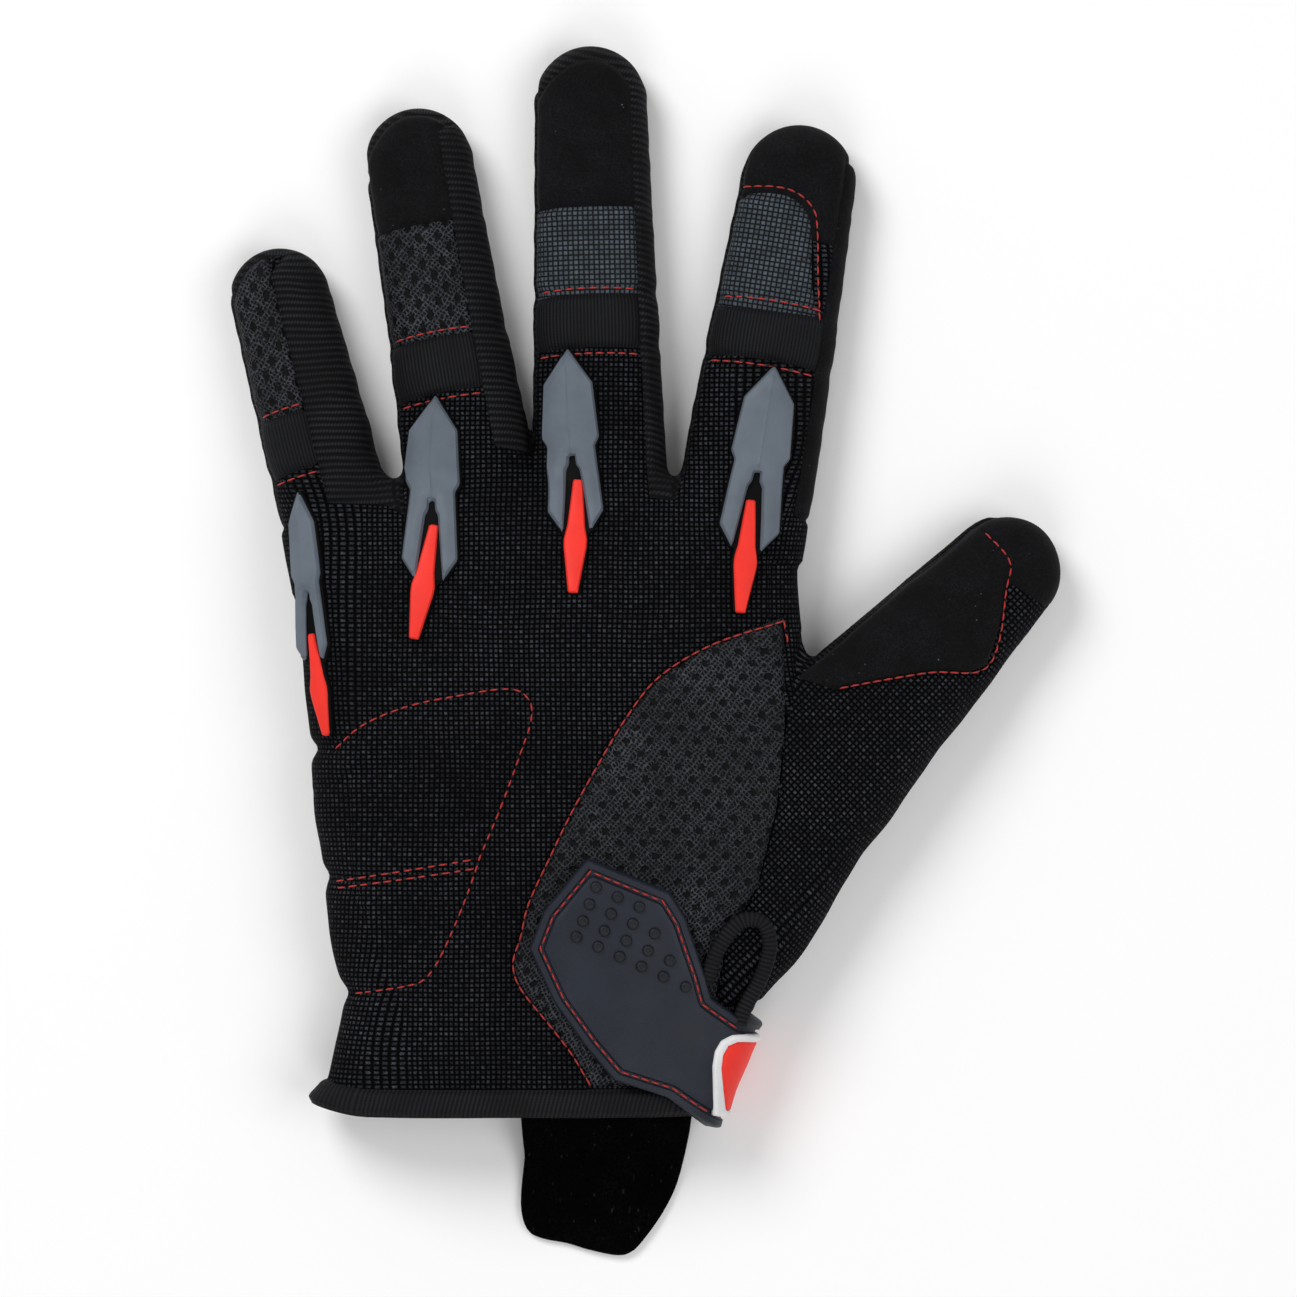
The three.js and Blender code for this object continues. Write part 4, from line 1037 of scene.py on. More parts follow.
# Dents and swells: x, y, the bell's two radii, its turn in degrees and its height
DENTS = (
    (-56.5, -13, 7, 2.0, 12, -1.5), (-54, -42.5, 7, 2.2, 8, -1.4), (-52, -69.5, 7, 2.4, 5, -1.5),
    (-55, -28, 8, 8, 0, 0.7), (-53, -56, 8, 8, 0, 0.7), (-50, -80, 8, 6, 0, 0.6),
    (-54.5, -95, 4.5, 3.5, 0, 2.6), (-30, -97, 9, 3, 0, 0.5), (-10, -96, 8, 3, 0, -0.4),
    (-44, -18, 9, 0.9, 24, -0.5), (-46, -15.5, 8, 0.8, 34, 0.35), (-45, -46.5, 8, 0.9, -12, -0.35),
    (66, -24, 16, 2.2, 42, -0.6), (60, -30, 15, 2.0, 44, 0.5), (52, -40, 14, 2.0, 58, -0.5),
    (63, 0, 9, 1.8, 30, -0.6), (60, -4, 9, 1.8, 34, 0.5), (57, 8, 5, 3, 0, -0.5),
    (-21, 8, 10, 12, 0, 0.7), (7, 20, 10, 12, 0, 0.7), (36, 12, 10, 12, 0, 0.6),
    (-8, 2, 3, 22, -8, -0.5), (21, 10, 3, 20, 8, -0.5), (-36, 6, 3, 18, -6, -0.4),
)
# Sewn channels across the wrist's underside, and the palm's vent dots: x, y, radius
CHANNELS = tuple(np.array(path) for path in (
    [(-56, -75.2), (-30, -76.4), (4, -77.4)], [(-56, -81.6), (-30, -83.2), (4, -85.2)],
    [(-56, -90), (-30, -91.6), (4, -92.6)], [(-60, -62.2), (10, -63.4), (34, -64)],
))
VENTS = ((-25.9, 95, 1.9), (-21.6, 65, 1.9), (10.4, 77.4, 1.9), (48.6, 73.2, 1.9), (-56.6, 69, 1.6))
# Sewing lines of the back
PAD_STITCH = [
    (-51, -13), (-43.8, -7.2), (-33.9, -3), (-22.8, -0.6), (-10.2, 1.2), (-5.4, -1.2), (-4.8, -6),
    (-7.2, -13.5), (-11.7, -25.8), (-16.5, -37.2), (-17.7, -40.8), (-20.4, -48.3), (-25.2, -59.4),
    (-29.1, -65.4), (-33.9, -67.5), (-47, -69.6),
]
PAD_FIELD = np.array([*PAD_STITCH, (-70, -72), (-70, -14)])
PAD_ROWS = [np.array([(-18.3, -38.1), (-50.7, -43.5)]), np.array([(-17.7, -40.2), (-50.1, -45)])]
MESH_STITCH = [(54, 17), *MESH_EDGE]
MESH_CORNER = np.array([(53.7, 17.7), (54.9, 11.4)])
THUMB_STITCH = [(66, 1.4), (86.7, 4.9), (101.7, 6.4), (105.3, 24.3), (105.9, 30.9), (100.2, 37.8)]
CREASE_REACH = 4.0
CREASE_LEVELS = (0.35, 0.9, 1.7)


def bump_at(x, y, cx, cy, rx, ry, turn):
    """A soft bell over an oval: exp(-(distance/radius)^2)."""
    c, s = math.cos(math.radians(turn)), math.sin(math.radians(turn))
    dx, dy = x - cx, y - cy
    return np.exp(-((dx * c + dy * s) / rx) ** 2 - ((dy * c - dx * s) / ry) ** 2)


def back_sewing():
    """The red sewing lines on the back, by plan path."""
    paths = [curve_through(line, False) for line in (PAD_STITCH, MESH_STITCH, THUMB_STITCH)]
    paths += [*PAD_ROWS, MESH_CORNER, INDEX_STITCH]
    for name in FINGERS:
        paths.append(across_finger(name, finger(name)["band"] - 1.3))
        paths.append(across_finger(name, finger(name)["band_end"] + 1.4))
    return paths


def crease_field(points):
    """Distance to the nearest sewing line of the back, or to a sewn channel of the wrist, up to a limit."""
    best = np.full(len(points), CREASE_REACH)
    up = points[:, 2] > SEAM_Z - 1
    for side, paths in ((up, back_sewing()), (~up, CHANNELS)):
        x, y = points[side, 0], points[side, 1]
        for path in paths:
            best[side] = np.minimum(best[side], path_distance(x, y, path, CREASE_REACH))
    return best


def pad_swell(x, y, outline, rise, reach):
    """A padded panel: it swells from its sewing to a height, within a reach of the rim."""
    inside = outline_field(x, y, outline, reach * 2).clip(0, None)
    return rise * (1 - np.exp(-inside / reach))


def bell(distance, width):
    """exp(-(distance/width)^2)."""
    return np.exp(-(distance / width) ** 2)


def finger_relief(name, x, y, up):
    """A finger's bands pinched at their sewing and swollen between, its cap's padding, and its creases."""
    f = finger(name)
    u, v, half, _, _, length = finger_plan(name, x, y)
    depth = length + f["tip_length"] - v
    share = np.abs(u) / half
    pinch = bell(depth - f["band"], 1.6) + bell(depth - f["band_end"], 1.6)
    bulge = bell(depth - (f["band"] + f["band_end"]) / 2, 3.5)
    fold = bell(depth - f["band"] - 4.4, 0.7)
    rise = (0.28 * bulge - 0.42 * pinch - 0.16 * fold) * up
    if f["cap"]:
        rise -= 0.35 * bell(depth - f["cap"], 1.4) * up
        tip = np.sqrt((u / half) ** 2 + (np.maximum(v - length, 0) / f["tip_length"]) ** 2)
        rise += 0.3 * bell((tip - 0.62) * half, 3) * up * (depth < f["cap"] + 3)
    sides = (share - 0.55).clip(0, 0.4) / 0.4
    wrinkle = np.sin(v * 0.86 + 1.9 * np.sin(u * 0.16 + v * 0.05) + len(name)) * np.sin(v * 0.21 + u * 0.1)
    rise += 0.12 * wrinkle * (0.25 + sides) * (1 - 0.6 * up) * (share < 1.2)
    return rise, share, v


def relief(points):
    """How far the cloth stands out of the plain form: a sum of soft bells and ripples."""
    x, y, z = points.T
    up = ((z - SEAM_Z) / 6 + 0.5).clip(0, 1)
    nearest = np.full(len(x), 9.0)
    rise = np.zeros(len(x))
    for name in FINGERS:
        here, share, v = finger_relief(name, x, y, up)
        mine = (share < nearest) & (v > -5)
        nearest = np.where(mine, share, nearest)
        rise = np.where(mine & (share < 1.25), here * (v / 12).clip(0, 1), rise)
    hand = (1 - ((y - 40) / 20).clip(0, 1)) * up
    rise += pad_swell(x, y, PAD_FIELD, 0.95, 4.0) * up
    rise += pad_swell(x, y, MESH_PANEL, 0.5, 5.0) * up
    rise += hand * 0.3 * np.sin(x * 0.13 + 0.6 * np.sin(y * 0.08)) * np.sin(y * 0.11 + 0.5 + 0.03 * x)
    rise += hand * 0.16 * np.sin(x * 0.31 + y * 0.17) * np.sin(y * 0.27 - x * 0.12 + 1.1)
    off_table = ((z - 1.8) / 3).clip(0, 1)
    for cx, cy, rx, ry, turn, amount in DENTS:
        rise += amount * bump_at(x, y, cx, cy, rx, ry, turn) * off_table
    crease = crease_field(points)
    return rise - (0.42 * bell(crease, 0.6) + 0.12 * bell(crease, 1.8))


SURFACE = {}


def surface():
    """The form's mesh, made once: points, directions and three-sided faces."""
    if not SURFACE:
        points, direction, quads = level_mesh(bpy.context.scene.glove.cloth_step / MM)
        a, b, c, d = quads.T
        one, other = (np.linalg.norm(points[p] - points[q], axis=1) for p, q in ((a, c), (b, d)))
        short = one < other
        faces = np.concatenate((quads[short][:, (0, 1, 2)], quads[short][:, (0, 2, 3)],
                                quads[~short][:, (0, 1, 3)], quads[~short][:, (1, 2, 3)]))
        SURFACE.update(points=points, direction=direction, faces=faces)
    return SURFACE["points"], SURFACE["direction"], SURFACE["faces"]


def cut_levels(rows, faces, column, levels):
    """Faces cut along several levels of one column, so that a profile bends exactly there."""
    for level in levels:
        rows, faces, _ = split(rows, faces, rows[:, column] - level)
    return rows, faces


def layer(value, profile, inner, levels=(), source="plan", under=False, creased=False):
    """A closed layer of the form where value is above zero: its points, faces, cloth coordinates and marks.

    The outer side stands profile(distance from the rim) out of the form, the inner side stands at inner."""
    points, direction, faces = surface()
    rows = np.column_stack((points, direction, value, crease_field(points) if creased else value))
    rows, faces = keep_inside(rows, faces, value)
    rows, faces = cut_levels(rows, faces, 6, levels)
    if creased:
        rows, faces = cut_levels(rows, faces, 7, CREASE_LEVELS)
    place, out, inside = rows[:, :3], rows[:, 3:6], rows[:, 6]
    out = out / np.linalg.norm(out, axis=1)[:, None]
    lift = relief(place)[:, None]
    both = np.concatenate((place + out * (profile(inside)[:, None] + lift), place + out * (inner + lift)))
    cloth = cloth_place(place, source, under)
    spots = [((place[:, 0] - x) ** 2 + (place[:, 1] - y) ** 2) / r ** 2 for x, y, r in VENTS]
    mark = sum(np.exp(-spot ** 2) for spot in spots) * (place[:, 2] < SEAM_Z)
    return both, thicken(faces, len(place)), np.concatenate((cloth, cloth)), np.concatenate((mark, mark))


# Panels

# The cloth's wall, the hem tape's depth and its cover over the panels, and the sewing rows of the patches
CLOTH_WALL = 1.5
HEM_DEPTH, HEM_COVER = 6.6, 1.2
SEWN_ROWS = (1.3, 3.3)
# Panels by the start of their name: finish, record slot, and where the cloth coordinates come from
PANEL_LOOKS = {
    "side": ("stretch", "stretch", "near"),
    "side_index_outer": ("suede", "stretch", "near"),
    "tip_cap": ("suede", "suede", None),
    "mesh_panel": ("air", "spacer", None),
    "print_panel": ("dyed", "printed", None),
    "knuckle_band": ("elastic", "stretch", None),
    "hand_mesh_panel": ("spacer", "spacer", "hand"),
    "thumb_patch": ("suede", "suede", "thumb"),
    "thumb_back": ("woven", "woven", "thumb"),
    "thumb_gusset": ("gusset", "woven", "thumb"),
    "wrist_elastic": ("elastic", "stretch", "plan"),
    "back_panel": ("woven", "woven", "back"),
    "palm_leather": ("palm", "grained", "plan"),
}


def look_of(node):
    """Finish, record slot and cloth source of a panel, by the longest start of its name."""
    key = max((k for k in PANEL_LOOKS if node.startswith(k)), key=len)
    finish, slot, source = PANEL_LOOKS[key]
    return finish, slot, source or node.rsplit("_", 1)[1]


def tip_wrap(points, name, share):
    """The side strip's turn over a fingertip: outside a share of its ellipse, running out on the far side."""
    f = finger(name)
    u, v, half, _, _, length = finger_plan(name, points[:, 0], points[:, 1])
    beyond = np.maximum(v - length, 0) / f["tip_length"]
    depth = length + f["tip_length"] - v
    out = np.sqrt((u / half) ** 2 + beyond ** 2)
    share = share + (depth - 6).clip(0, 12) / 12 * (1.15 - share) * (u < 0)
    value = np.minimum((out - share) * half, (16 - depth) * 0.5)
    return np.minimum(value, 1.4 * half - np.abs(u)).clip(-3, 3)


def panel_fields():
    """How far inside each panel every point of the form is, after the panels before it are taken away."""
    points = surface()[0]
    fields = {}
    taken = np.full(len(points), -3.0)
    rows = {node: (above, below) for node, above, below in panel_rows()}
    order = list(rows)
    order.remove("tip_cap_index")
    order.insert(order.index("print_panel_index") + 1, "tip_cap_index")
    for node in order:
        above, below = rows[node]
        own = region_field(points, above, below)
        if node in WRAPS:
            own = np.maximum(own, tip_wrap(points, *WRAPS[node]))
        fields[node] = np.minimum(own, -taken)
        taken = np.maximum(taken, own)
    return fields


def past_hem(points):
    """How far points are above the cuff's end, which curves up at the outer side."""
    rise = ((-42 - points[:, 0]) / 14).clip(0, 1.3)
    return points[:, 1] - HEM_Y - 3.2 * rise * rise


def build_panels():
    """Every cloth panel: the form between its seams, rolled down at the seam, with an inner face."""
    look = finishes()
    past = past_hem(surface()[0]) - HEM_COVER
    for node, value in panel_fields().items():
        finish, slot, source = look_of(node)
        data = layer(np.minimum(value, past), lambda inside: -0.65 * bell(inside, 0.75), -CLOTH_WALL,
                     (0.3, 0.8, 1.5), source, node == "thumb_gusset", True)
        install(make_piece(f"cloth_{node}", look[finish], *data), slot, node)


def build_patches():
    """The leather patches under the palm and the fingertips, turned down at their edges."""
    look = finishes()
    points = surface()[0]

    def profile(inside):
        """A flat patch, turned down at its rim and pressed in along its sewing."""
        sewn = sum(bell(inside - row, 0.4) for row in SEWN_ROWS)
        return 1.0 - 0.7 * bell(inside, 0.5) - 0.2 * sewn

    outlines = {"palm_patch": PALM_PATCH}
    for name in FINGERS:
        outlines[f"fingertip_patch_{name}"] = strip(name, -0.5, 0.88, -1, finger(name)["patch"])
    for node, outline in outlines.items():
        value = region_field(points, None, outline, 6.0)
        if node != "palm_patch":
            value = np.minimum(value, (2.7 - points[:, 2]) * 1.5)
        data = layer(value, profile, 0.05, (0.25, 0.6, 0.95, 1.3, 1.7, 2.3, 2.9, 3.3, 3.8))
        install(make_piece(f"leather_{node}", look["patch"], *data), "grained", node)


def build_hem():
    """The bound hem: a padded tape folded over the cuff's end."""
    past = past_hem(surface()[0])
    value = np.minimum(past, HEM_DEPTH - past)
    data = layer(value, lambda inside: 1.25 - 1.3 * bell(inside, 0.9), -2.6, (0.3, 0.7, 1.3, 2.1), "hand")
    install(make_piece("sewn_hem_binding", finishes()["binding"], *data), "stretch", "hem_binding")


# Moulded pieces on the back

# Each guard: its tip and end in plan, the spear insert's tip and end, and its width as a share
GUARDS = {
    "little": ((-58.4, 47), (-54.2, 6.6), (-55, 14), (-51.6, -9.6), 0.52),
    "ring": ((-27, 69), (-28.2, 25.8), (-27.2, 38.7), (-31.6, 12.6), 1.0),
    "middle": ((3.6, 79.8), (5.6, 36.9), (6, 49.2), (4.8, 23.1), 1.0),
    "index": ((51.3, 75.9), (44.4, 33), (45.8, 44.7), (43, 18.6), 1.06),
}
GUARD_HALF, INSERT_HALF = 6.4, 2.7
# Outlines as shares along the guard or insert and shares of its half width
GUARD_OUTLINE = np.array([(0, 0.02), (0.185, 0.82), (0.48, 0.97), (0.525, 0.81), (0.885, 1.0), (1.0, 0.48)])
GUARD_SLOT = np.array([(0.577, 0.1), (0.625, 0.12), (0.655, 0.23), (1.02, 0.5)])
INSERT_OUTLINE = np.array([(0, 0.4), (0.41, 0.76), (0.53, 1.0), (0.6, 0.98), (1, 0.42)])
# Rises from the cloth at distances from the rim, in millimetres
GUARD_EDGE = ((0, 0.12, 0.45), (1.5, 1.75, 2.25))
BASE_EDGE = ((0, 0.15, 0.35), (0.7, 1.0, 1.15))
INSERT_EDGE = ((0, 0.1, 0.35, 1.4), (1.3, 1.55, 1.85, 2.0))


def ribbon_outline(start, end, rows, half, grow=0.0):
    """A closed outline about a line: the rows give shares along it and shares of the half width."""
    start, end = np.array(start, float), np.array(end, float)
    run = end - start
    length = np.hypot(*run)
    run = run / length
    side = np.array((-run[1], run[0]))
    at = rows[:, 0] * length
    wide = rows[:, 1] * half + grow
    left = start + run * at[:, None] + side * wide[:, None]
    right = start + run * at[:, None] - side * wide[:, None]
    return np.concatenate((left, right[::-1]))


def plan_grid(outline, step, margin=1.0):
    """A flat grid of three-sided faces over an outline's box."""
    low, high = outline.min(0) - margin, outline.max(0) + margin
    gx, gy = np.meshgrid(np.arange(low[0], high[0] + step, step), np.arange(low[1], high[1] + step, step))
    index = np.arange(gx.size).reshape(gx.shape)
    a, b, c, d = (index[:-1, :-1], index[:-1, 1:], index[1:, 1:], index[1:, :-1])
    faces = np.concatenate((np.stack((a, b, c), -1).reshape(-1, 3), np.stack((a, c, d), -1).reshape(-1, 3)))
    return np.column_stack((gx.ravel(), gy.ravel())), faces


def moulded(name, inside, outline, step, profile, inner, levels, material, slot, node=None, ridge=None):
    """A moulded piece over the form: a plan grid cut to its outline and ridge, set out by a profile."""
    plan, faces = plan_grid(outline, step)
    columns = [plan, inside(*plan.T)]
    if ridge:
        columns.append(ridge(*plan.T))
    rows = np.column_stack(columns)
    if ridge:
        rows, faces = cut_levels(rows, faces, 3, (0,))
    rows, faces = keep_inside(rows, faces, rows[:, 2])
    rows, faces = cut_levels(rows, faces, 2, levels)
    if ridge:
        rows, faces = cut_levels(rows, faces, 3, (-0.3, 0.3))
    base, out = surface_at(rows[:, 0], rows[:, 1])
    lift = relief(base)[:, None]
    both = np.concatenate((base + out * (profile(rows)[:, None] + lift), base + out * (inner + lift)))
    cloth = np.concatenate((rows[:, :2], rows[:, :2]))
    piece = make_piece(name, material, both, thicken(faces, len(base)), cloth)
    piece.data.set_sharp_from_angle(angle=math.radians(32))
    install(piece, slot, *([node] if node else []))


def build_guards():
    """Knuckle guards: a ridged plate with two prongs on a thin dark base, and a spear insert in its slot."""
    look = finishes()
    crown = bpy.context.scene.glove.guard_crown / MM
    for name, (top, end, tip, last, wide) in GUARDS.items():
        half = GUARD_HALF * wide
        insert_half = INSERT_HALF * min(wide * 1.25, 1.0)
        start, run = np.array(top, float), np.array(end, float) - top
        length = np.hypot(*run)
        run = run / length
        slot_rows = GUARD_SLOT.copy()
        slot_rows[:, 0] = (slot_rows[:, 0] - slot_rows[0, 0]) / (GUARD_SLOT[-1, 0] - slot_rows[0, 0])
        slot_from, slot_to = (start + run * length * at for at in GUARD_SLOT[[0, -1], 0])
        shape = ribbon_outline(top, end, GUARD_OUTLINE, half)
        slot_shape = ribbon_outline(slot_from, slot_to, slot_rows, half)
        spear = ribbon_outline(tip, last, INSERT_OUTLINE, insert_half)
        base_shape = ribbon_outline(top, end, GUARD_OUTLINE, half, 0.6)
        spear_base = ribbon_outline(tip, last, INSERT_OUTLINE, insert_half, 0.5)

        def plate(x, y):
            """Inside the plate and outside its slot."""
            return np.minimum(outline_field(x, y, shape), -outline_field(x, y, slot_shape))

        def ridge(x, y):
            """Distance from the guard's middle line, signed by the side."""
            return (x - start[0]) * run[1] - (y - start[1]) * run[0]

        def plate_height(rows):
            """The bevelled rim, and the crown that rises to the ridge."""
            inside, across = rows[:, 2], np.abs(rows[:, 3])
            rise = crown * (1 - across / half).clip(0, 1) + 0.12 * (across < 0.12)
            return np.interp(inside, *GUARD_EDGE) + rise * np.interp(inside, (0.1, 1.6), (0, 1))

        def base(x, y):
            """Inside the grown outline of the guard or of the insert."""
            return np.maximum(outline_field(x, y, base_shape), outline_field(x, y, spear_base))

        both = np.concatenate((base_shape, spear_base))
        moulded(f"guard_base_{name}", base, both, 0.8, lambda rows: np.interp(rows[:, 2], *BASE_EDGE), -0.6,
                BASE_EDGE[0][1:], look["guard_base"], "guard")
        moulded(f"guard_plate_{name}", plate, shape, 0.7, plate_height, 0.3,
                GUARD_EDGE[0][1:], look["guard"], "guard", f"knuckle_guard_{name}", ridge)
        moulded(f"guard_insert_{name}", lambda x, y: outline_field(x, y, spear), spear, 0.6,
                lambda rows: np.interp(rows[:, 2], *INSERT_EDGE), 0.2,
                INSERT_EDGE[0][1:3], look["red"], "red", f"knuckle_insert_{name}")


# Strap, badge, loop and tab

# Rows of dots: x and y of the first and how many, then their step, and each dot's rings as width and height
DOT_ROWS = ((10.2, -43.8, 3), (8.7, -47.7, 4), (7.2, -51.6, 5), (5.7, -55.2, 6))
DOT_STEP = (4.9, -2.25)
DOT_RADIUS, DOT_SIDES = 1.2, 20
DOT_RINGS = ((1.12, 4.15), (1.08, 4.75), (0.94, 5.05), (0.6, 5.15), (0.5, 5.05), (0.0, 5.03))
# Rises from the cloth at distances from the rim, in millimetres
STRAP_EDGE = ((0, 0.15, 0.5, 1.7, 1.95, 2.9, 3.25, 4.0), (2.9, 3.5, 3.85, 3.85, 3.2, 3.2, 4.1, 4.3))
RIM_EDGE = ((0, 0.15, 0.4), (4.4, 4.9, 5.15))
FIELD_EDGE = ((0, 0.15, 0.4), (4.7, 4.85, 4.95))
BADGE_RIM = 1.5
LOOP = np.array([
    (35.4, -66.6), (38.4, -58.5), (43.2, -52.5), (48.4, -52.6), (50.2, -58), (48.2, -65.5), (44.4, -72.6),
    (43.2, -76.4),
])
TAPE_SIDES, TAPE_WIDE, TAPE_TALL = 16, 3.6, 3.0
TAB = curve_through([
    (-4.5, -91), (-6.8, -108.6), (-7.8, -120), (-6.2, -126), (-2.4, -128.1), (3, -129.1), (9.2, -130.9),
    (16.8, -131.9), (21.6, -127.6), (26.8, -119.8), (29.8, -112), (32.4, -98), (31, -91),
], steps=3)
# The tab's side view: heights of its underside along the drawing's Y
TAB_SIDE = np.array([(-140, 0), (-115.4, 0), (-110.4, 1.2), (-104.4, 4.4), (-99.4, 7.1), (-88, 7.1)])
TAB_WALL = 1.7


def rise_over(edge):
    """A profile that reads its rise from the distances of a table."""
    return lambda inside: np.interp(inside, *edge)


def build_strap():
    """The strap round the wrist: a rounded flange, a sewn groove and a flat face, with its badge."""
    look = finishes()
    points = surface()[0]
    value = region_field(points, STRAP_ABOVE, STRAP_BELOW, 6.0)
    data = layer(value, rise_over(STRAP_EDGE), 0.4, STRAP_EDGE[0][1:])
    piece = make_piece("moulded_strap", look["strap"], *data)
    piece.data.set_sharp_from_angle(angle=math.radians(35))
    install(piece, "strap", "wrist_strap")

    badge = region_field(points, BADGE_ABOVE, BADGE_BELOW, 6.0)
    field = badge - BADGE_RIM
    data = layer(np.minimum(badge, 0.05 - field), rise_over(RIM_EDGE), 3.6, RIM_EDGE[0][1:])
    install(make_piece("badge_rim", look["white"], *data), "white", "strap_badge_rim")
    data = layer(field, rise_over(FIELD_EDGE), 3.6, FIELD_EDGE[0][1:])
    install(make_piece("badge_field", look["red"], *data), "red", "strap_badge_field")


def build_dots():
    """The strap's raised dots: each a stack of rings about the outward direction, with a sunk middle."""
    spots = np.array([(x + k * DOT_STEP[0], y + k * DOT_STEP[1])
                      for x, y, count in DOT_ROWS for k in range(count)])
    base, out = surface_at(spots[:, 0], spots[:, 1])
    base = base + out * relief(base)[:, None]
    side = np.cross(out, (0, 1, 0))
    side /= np.linalg.norm(side, axis=1)[:, None]
    front = np.cross(out, side)
    turn = np.arange(DOT_SIDES) / DOT_SIDES * TAU
    circle = side[:, None] * np.cos(turn)[None, :, None] + front[:, None] * np.sin(turn)[None, :, None]
    place = np.stack([base[:, None] + out[:, None] * high + circle * DOT_RADIUS * wide
                      for wide, high in DOT_RINGS], axis=1)
    grid = np.arange(place[..., 0].size).reshape(place.shape[:3])
    a, b = grid[:, :-1], grid[:, 1:]
    quads = np.stack((a, np.roll(a, -1, 2), np.roll(b, -1, 2), b), -1).reshape(-1, 4)
    place = place.reshape(-1, 3)
    # Their darker rubber is painted shade for the raised rims
    piece = make_piece("strap_dots", finishes()["dots"], place, quads, place[:, :2])
    install(piece, "strap", "wrist_strap")


def build_tab():
    """The pull tab, a tongue of pile cloth that bends from the cuff down to the table."""
    plan, faces = plan_grid(TAB, 1.2)
    rows = np.column_stack((plan, outline_field(*plan.T, TAB)))
    rows, faces = keep_inside(rows, faces, rows[:, 2])
    rows, faces = cut_levels(rows, faces, 2, (0.3, 0.9))
    x, y, inside = rows.T
    z = np.interp(y, *TAB_SIDE.T)
    ripple = 0.25 * np.sin(x / 5.0 + 1) * np.sin(y / 6.0) + 0.25
    ripple *= np.interp(y, (-114, -104), (1, 0.4))
    edge = 0.5 * bell(inside, 0.5)
    top = np.column_stack((x, y, z + TAB_WALL + ripple - edge))
    low = np.column_stack((x, y, z + 0.02 + edge * 0.5))
    piece = make_piece("pile_tab", finishes()["pile"], np.concatenate((top, low)), thicken(faces, len(top)),
                       np.concatenate((rows[:, :2], rows[:, :2])))
    install(piece, "pile", "pull_tab")


def build_hook():
    """The hook patch beside the strap's end, under the wrist."""
    value = region_field(surface()[0], None, HOOK_PATCH)
    data = layer(value, lambda inside: 0.9 - 0.4 * bell(inside, 0.4), 0.05, (0.3, 0.8))
    install(make_piece("hook_tape", finishes()["pile"], *data), "pile", "hook_patch")


def tube(path, side, up, wide, tall, around, power=3.0):
    """A rounded-square tube along a path: (|a|/wide)^n + (|b|/tall)^n = 1 in each cross-section."""
    turn = np.arange(around) / around * TAU
    c, s = np.cos(turn), np.sin(turn)
    a = np.sign(c) * np.abs(c) ** (2 / power) * wide / 2
    b = np.sign(s) * np.abs(s) ** (2 / power) * tall / 2
    place = path[:, None] + side[:, None] * a[None, :, None] + up[:, None] * b[None, :, None]
    index = np.arange(place[..., 0].size).reshape(place.shape[:2])
    p, q = index[:-1], index[1:]
    quads = np.stack((p, np.roll(p, -1, 1), np.roll(q, -1, 1), q), -1).reshape(-1, 4)
    ends = [index[0][::-1][None, :], index[-1][None, :]]
    return place.reshape(-1, 3), [quads, *ends]


def build_loop():
    """The pull loop: a band of ribbed tape in an arch over the cloth, with its ends under the strap."""
    path = curve_through(LOOP, closed=False, steps=10)
    height = surface_at(*path.T)[0][:, 2]
    height = np.convolve(np.pad(height, 6, mode="edge"), np.ones(13) / 13, mode="valid")
    centre = np.column_stack((path, np.maximum(height, height.max() - 5) + 2.1))
    ahead = np.gradient(centre, axis=0)
    ahead /= np.linalg.norm(ahead, axis=1)[:, None]
    up = np.tile((0.0, 0.0, 1.0), (len(path), 1))
    place, faces = tube(centre, np.cross(ahead, up), up, TAPE_WIDE, TAPE_TALL, TAPE_SIDES)
    along = np.concatenate(([0], np.cumsum(np.hypot(*np.diff(path, axis=0).T))))
    cloth = np.column_stack((np.repeat(along, TAPE_SIDES), np.tile(np.arange(TAPE_SIDES) * 0.8, len(path))))
    install(make_piece("tape_loop", finishes()["binding"], place, faces, cloth), "stretch", "pull_loop")


# Stitches

# A stitch: shares of its half length, its rise over the cloth there and its thickness, then its sides
STITCH_AT = np.linspace(-1, 1, 5)
STITCH_RISE = np.array((-0.12, 0.16, 0.24, 0.16, -0.12)) + 0.02
STITCH_THICK = np.array((0.55, 1.0, 1.08, 1.0, 0.55))
STITCH_SIDES = 6
# The strap's red line: how far in from its rim, then where it shows. On the back it runs to an X, further
# only above a Y, and under the wrist it runs to an X of its own.
STRAP_LINE = 2.4
LINE_X, LINE_FAR_X, LINE_FAR_Y, LINE_UNDER_X = 36.4, 44, -78, 35


def stitch_points(path, pitch):
    """Even steps along a plan path: middles and unit directions of the stitches."""
    path = np.asarray(path, float)
    lengths = np.hypot(*np.diff(path, axis=0).T)
    total = np.concatenate(([0], np.cumsum(lengths)))
    count = max(int(total[-1] / pitch), 1)
    at = (np.arange(count) + 0.5) * total[-1] / count

    def along(where):
        """Plan points at lengths along the path."""
        return np.column_stack([np.interp(where, total, column) for column in path.T])

    ahead = along(at + 0.4) - along(at - 0.4)
    return along(at), ahead / np.maximum(np.hypot(*ahead.T), 1e-6)[:, None]


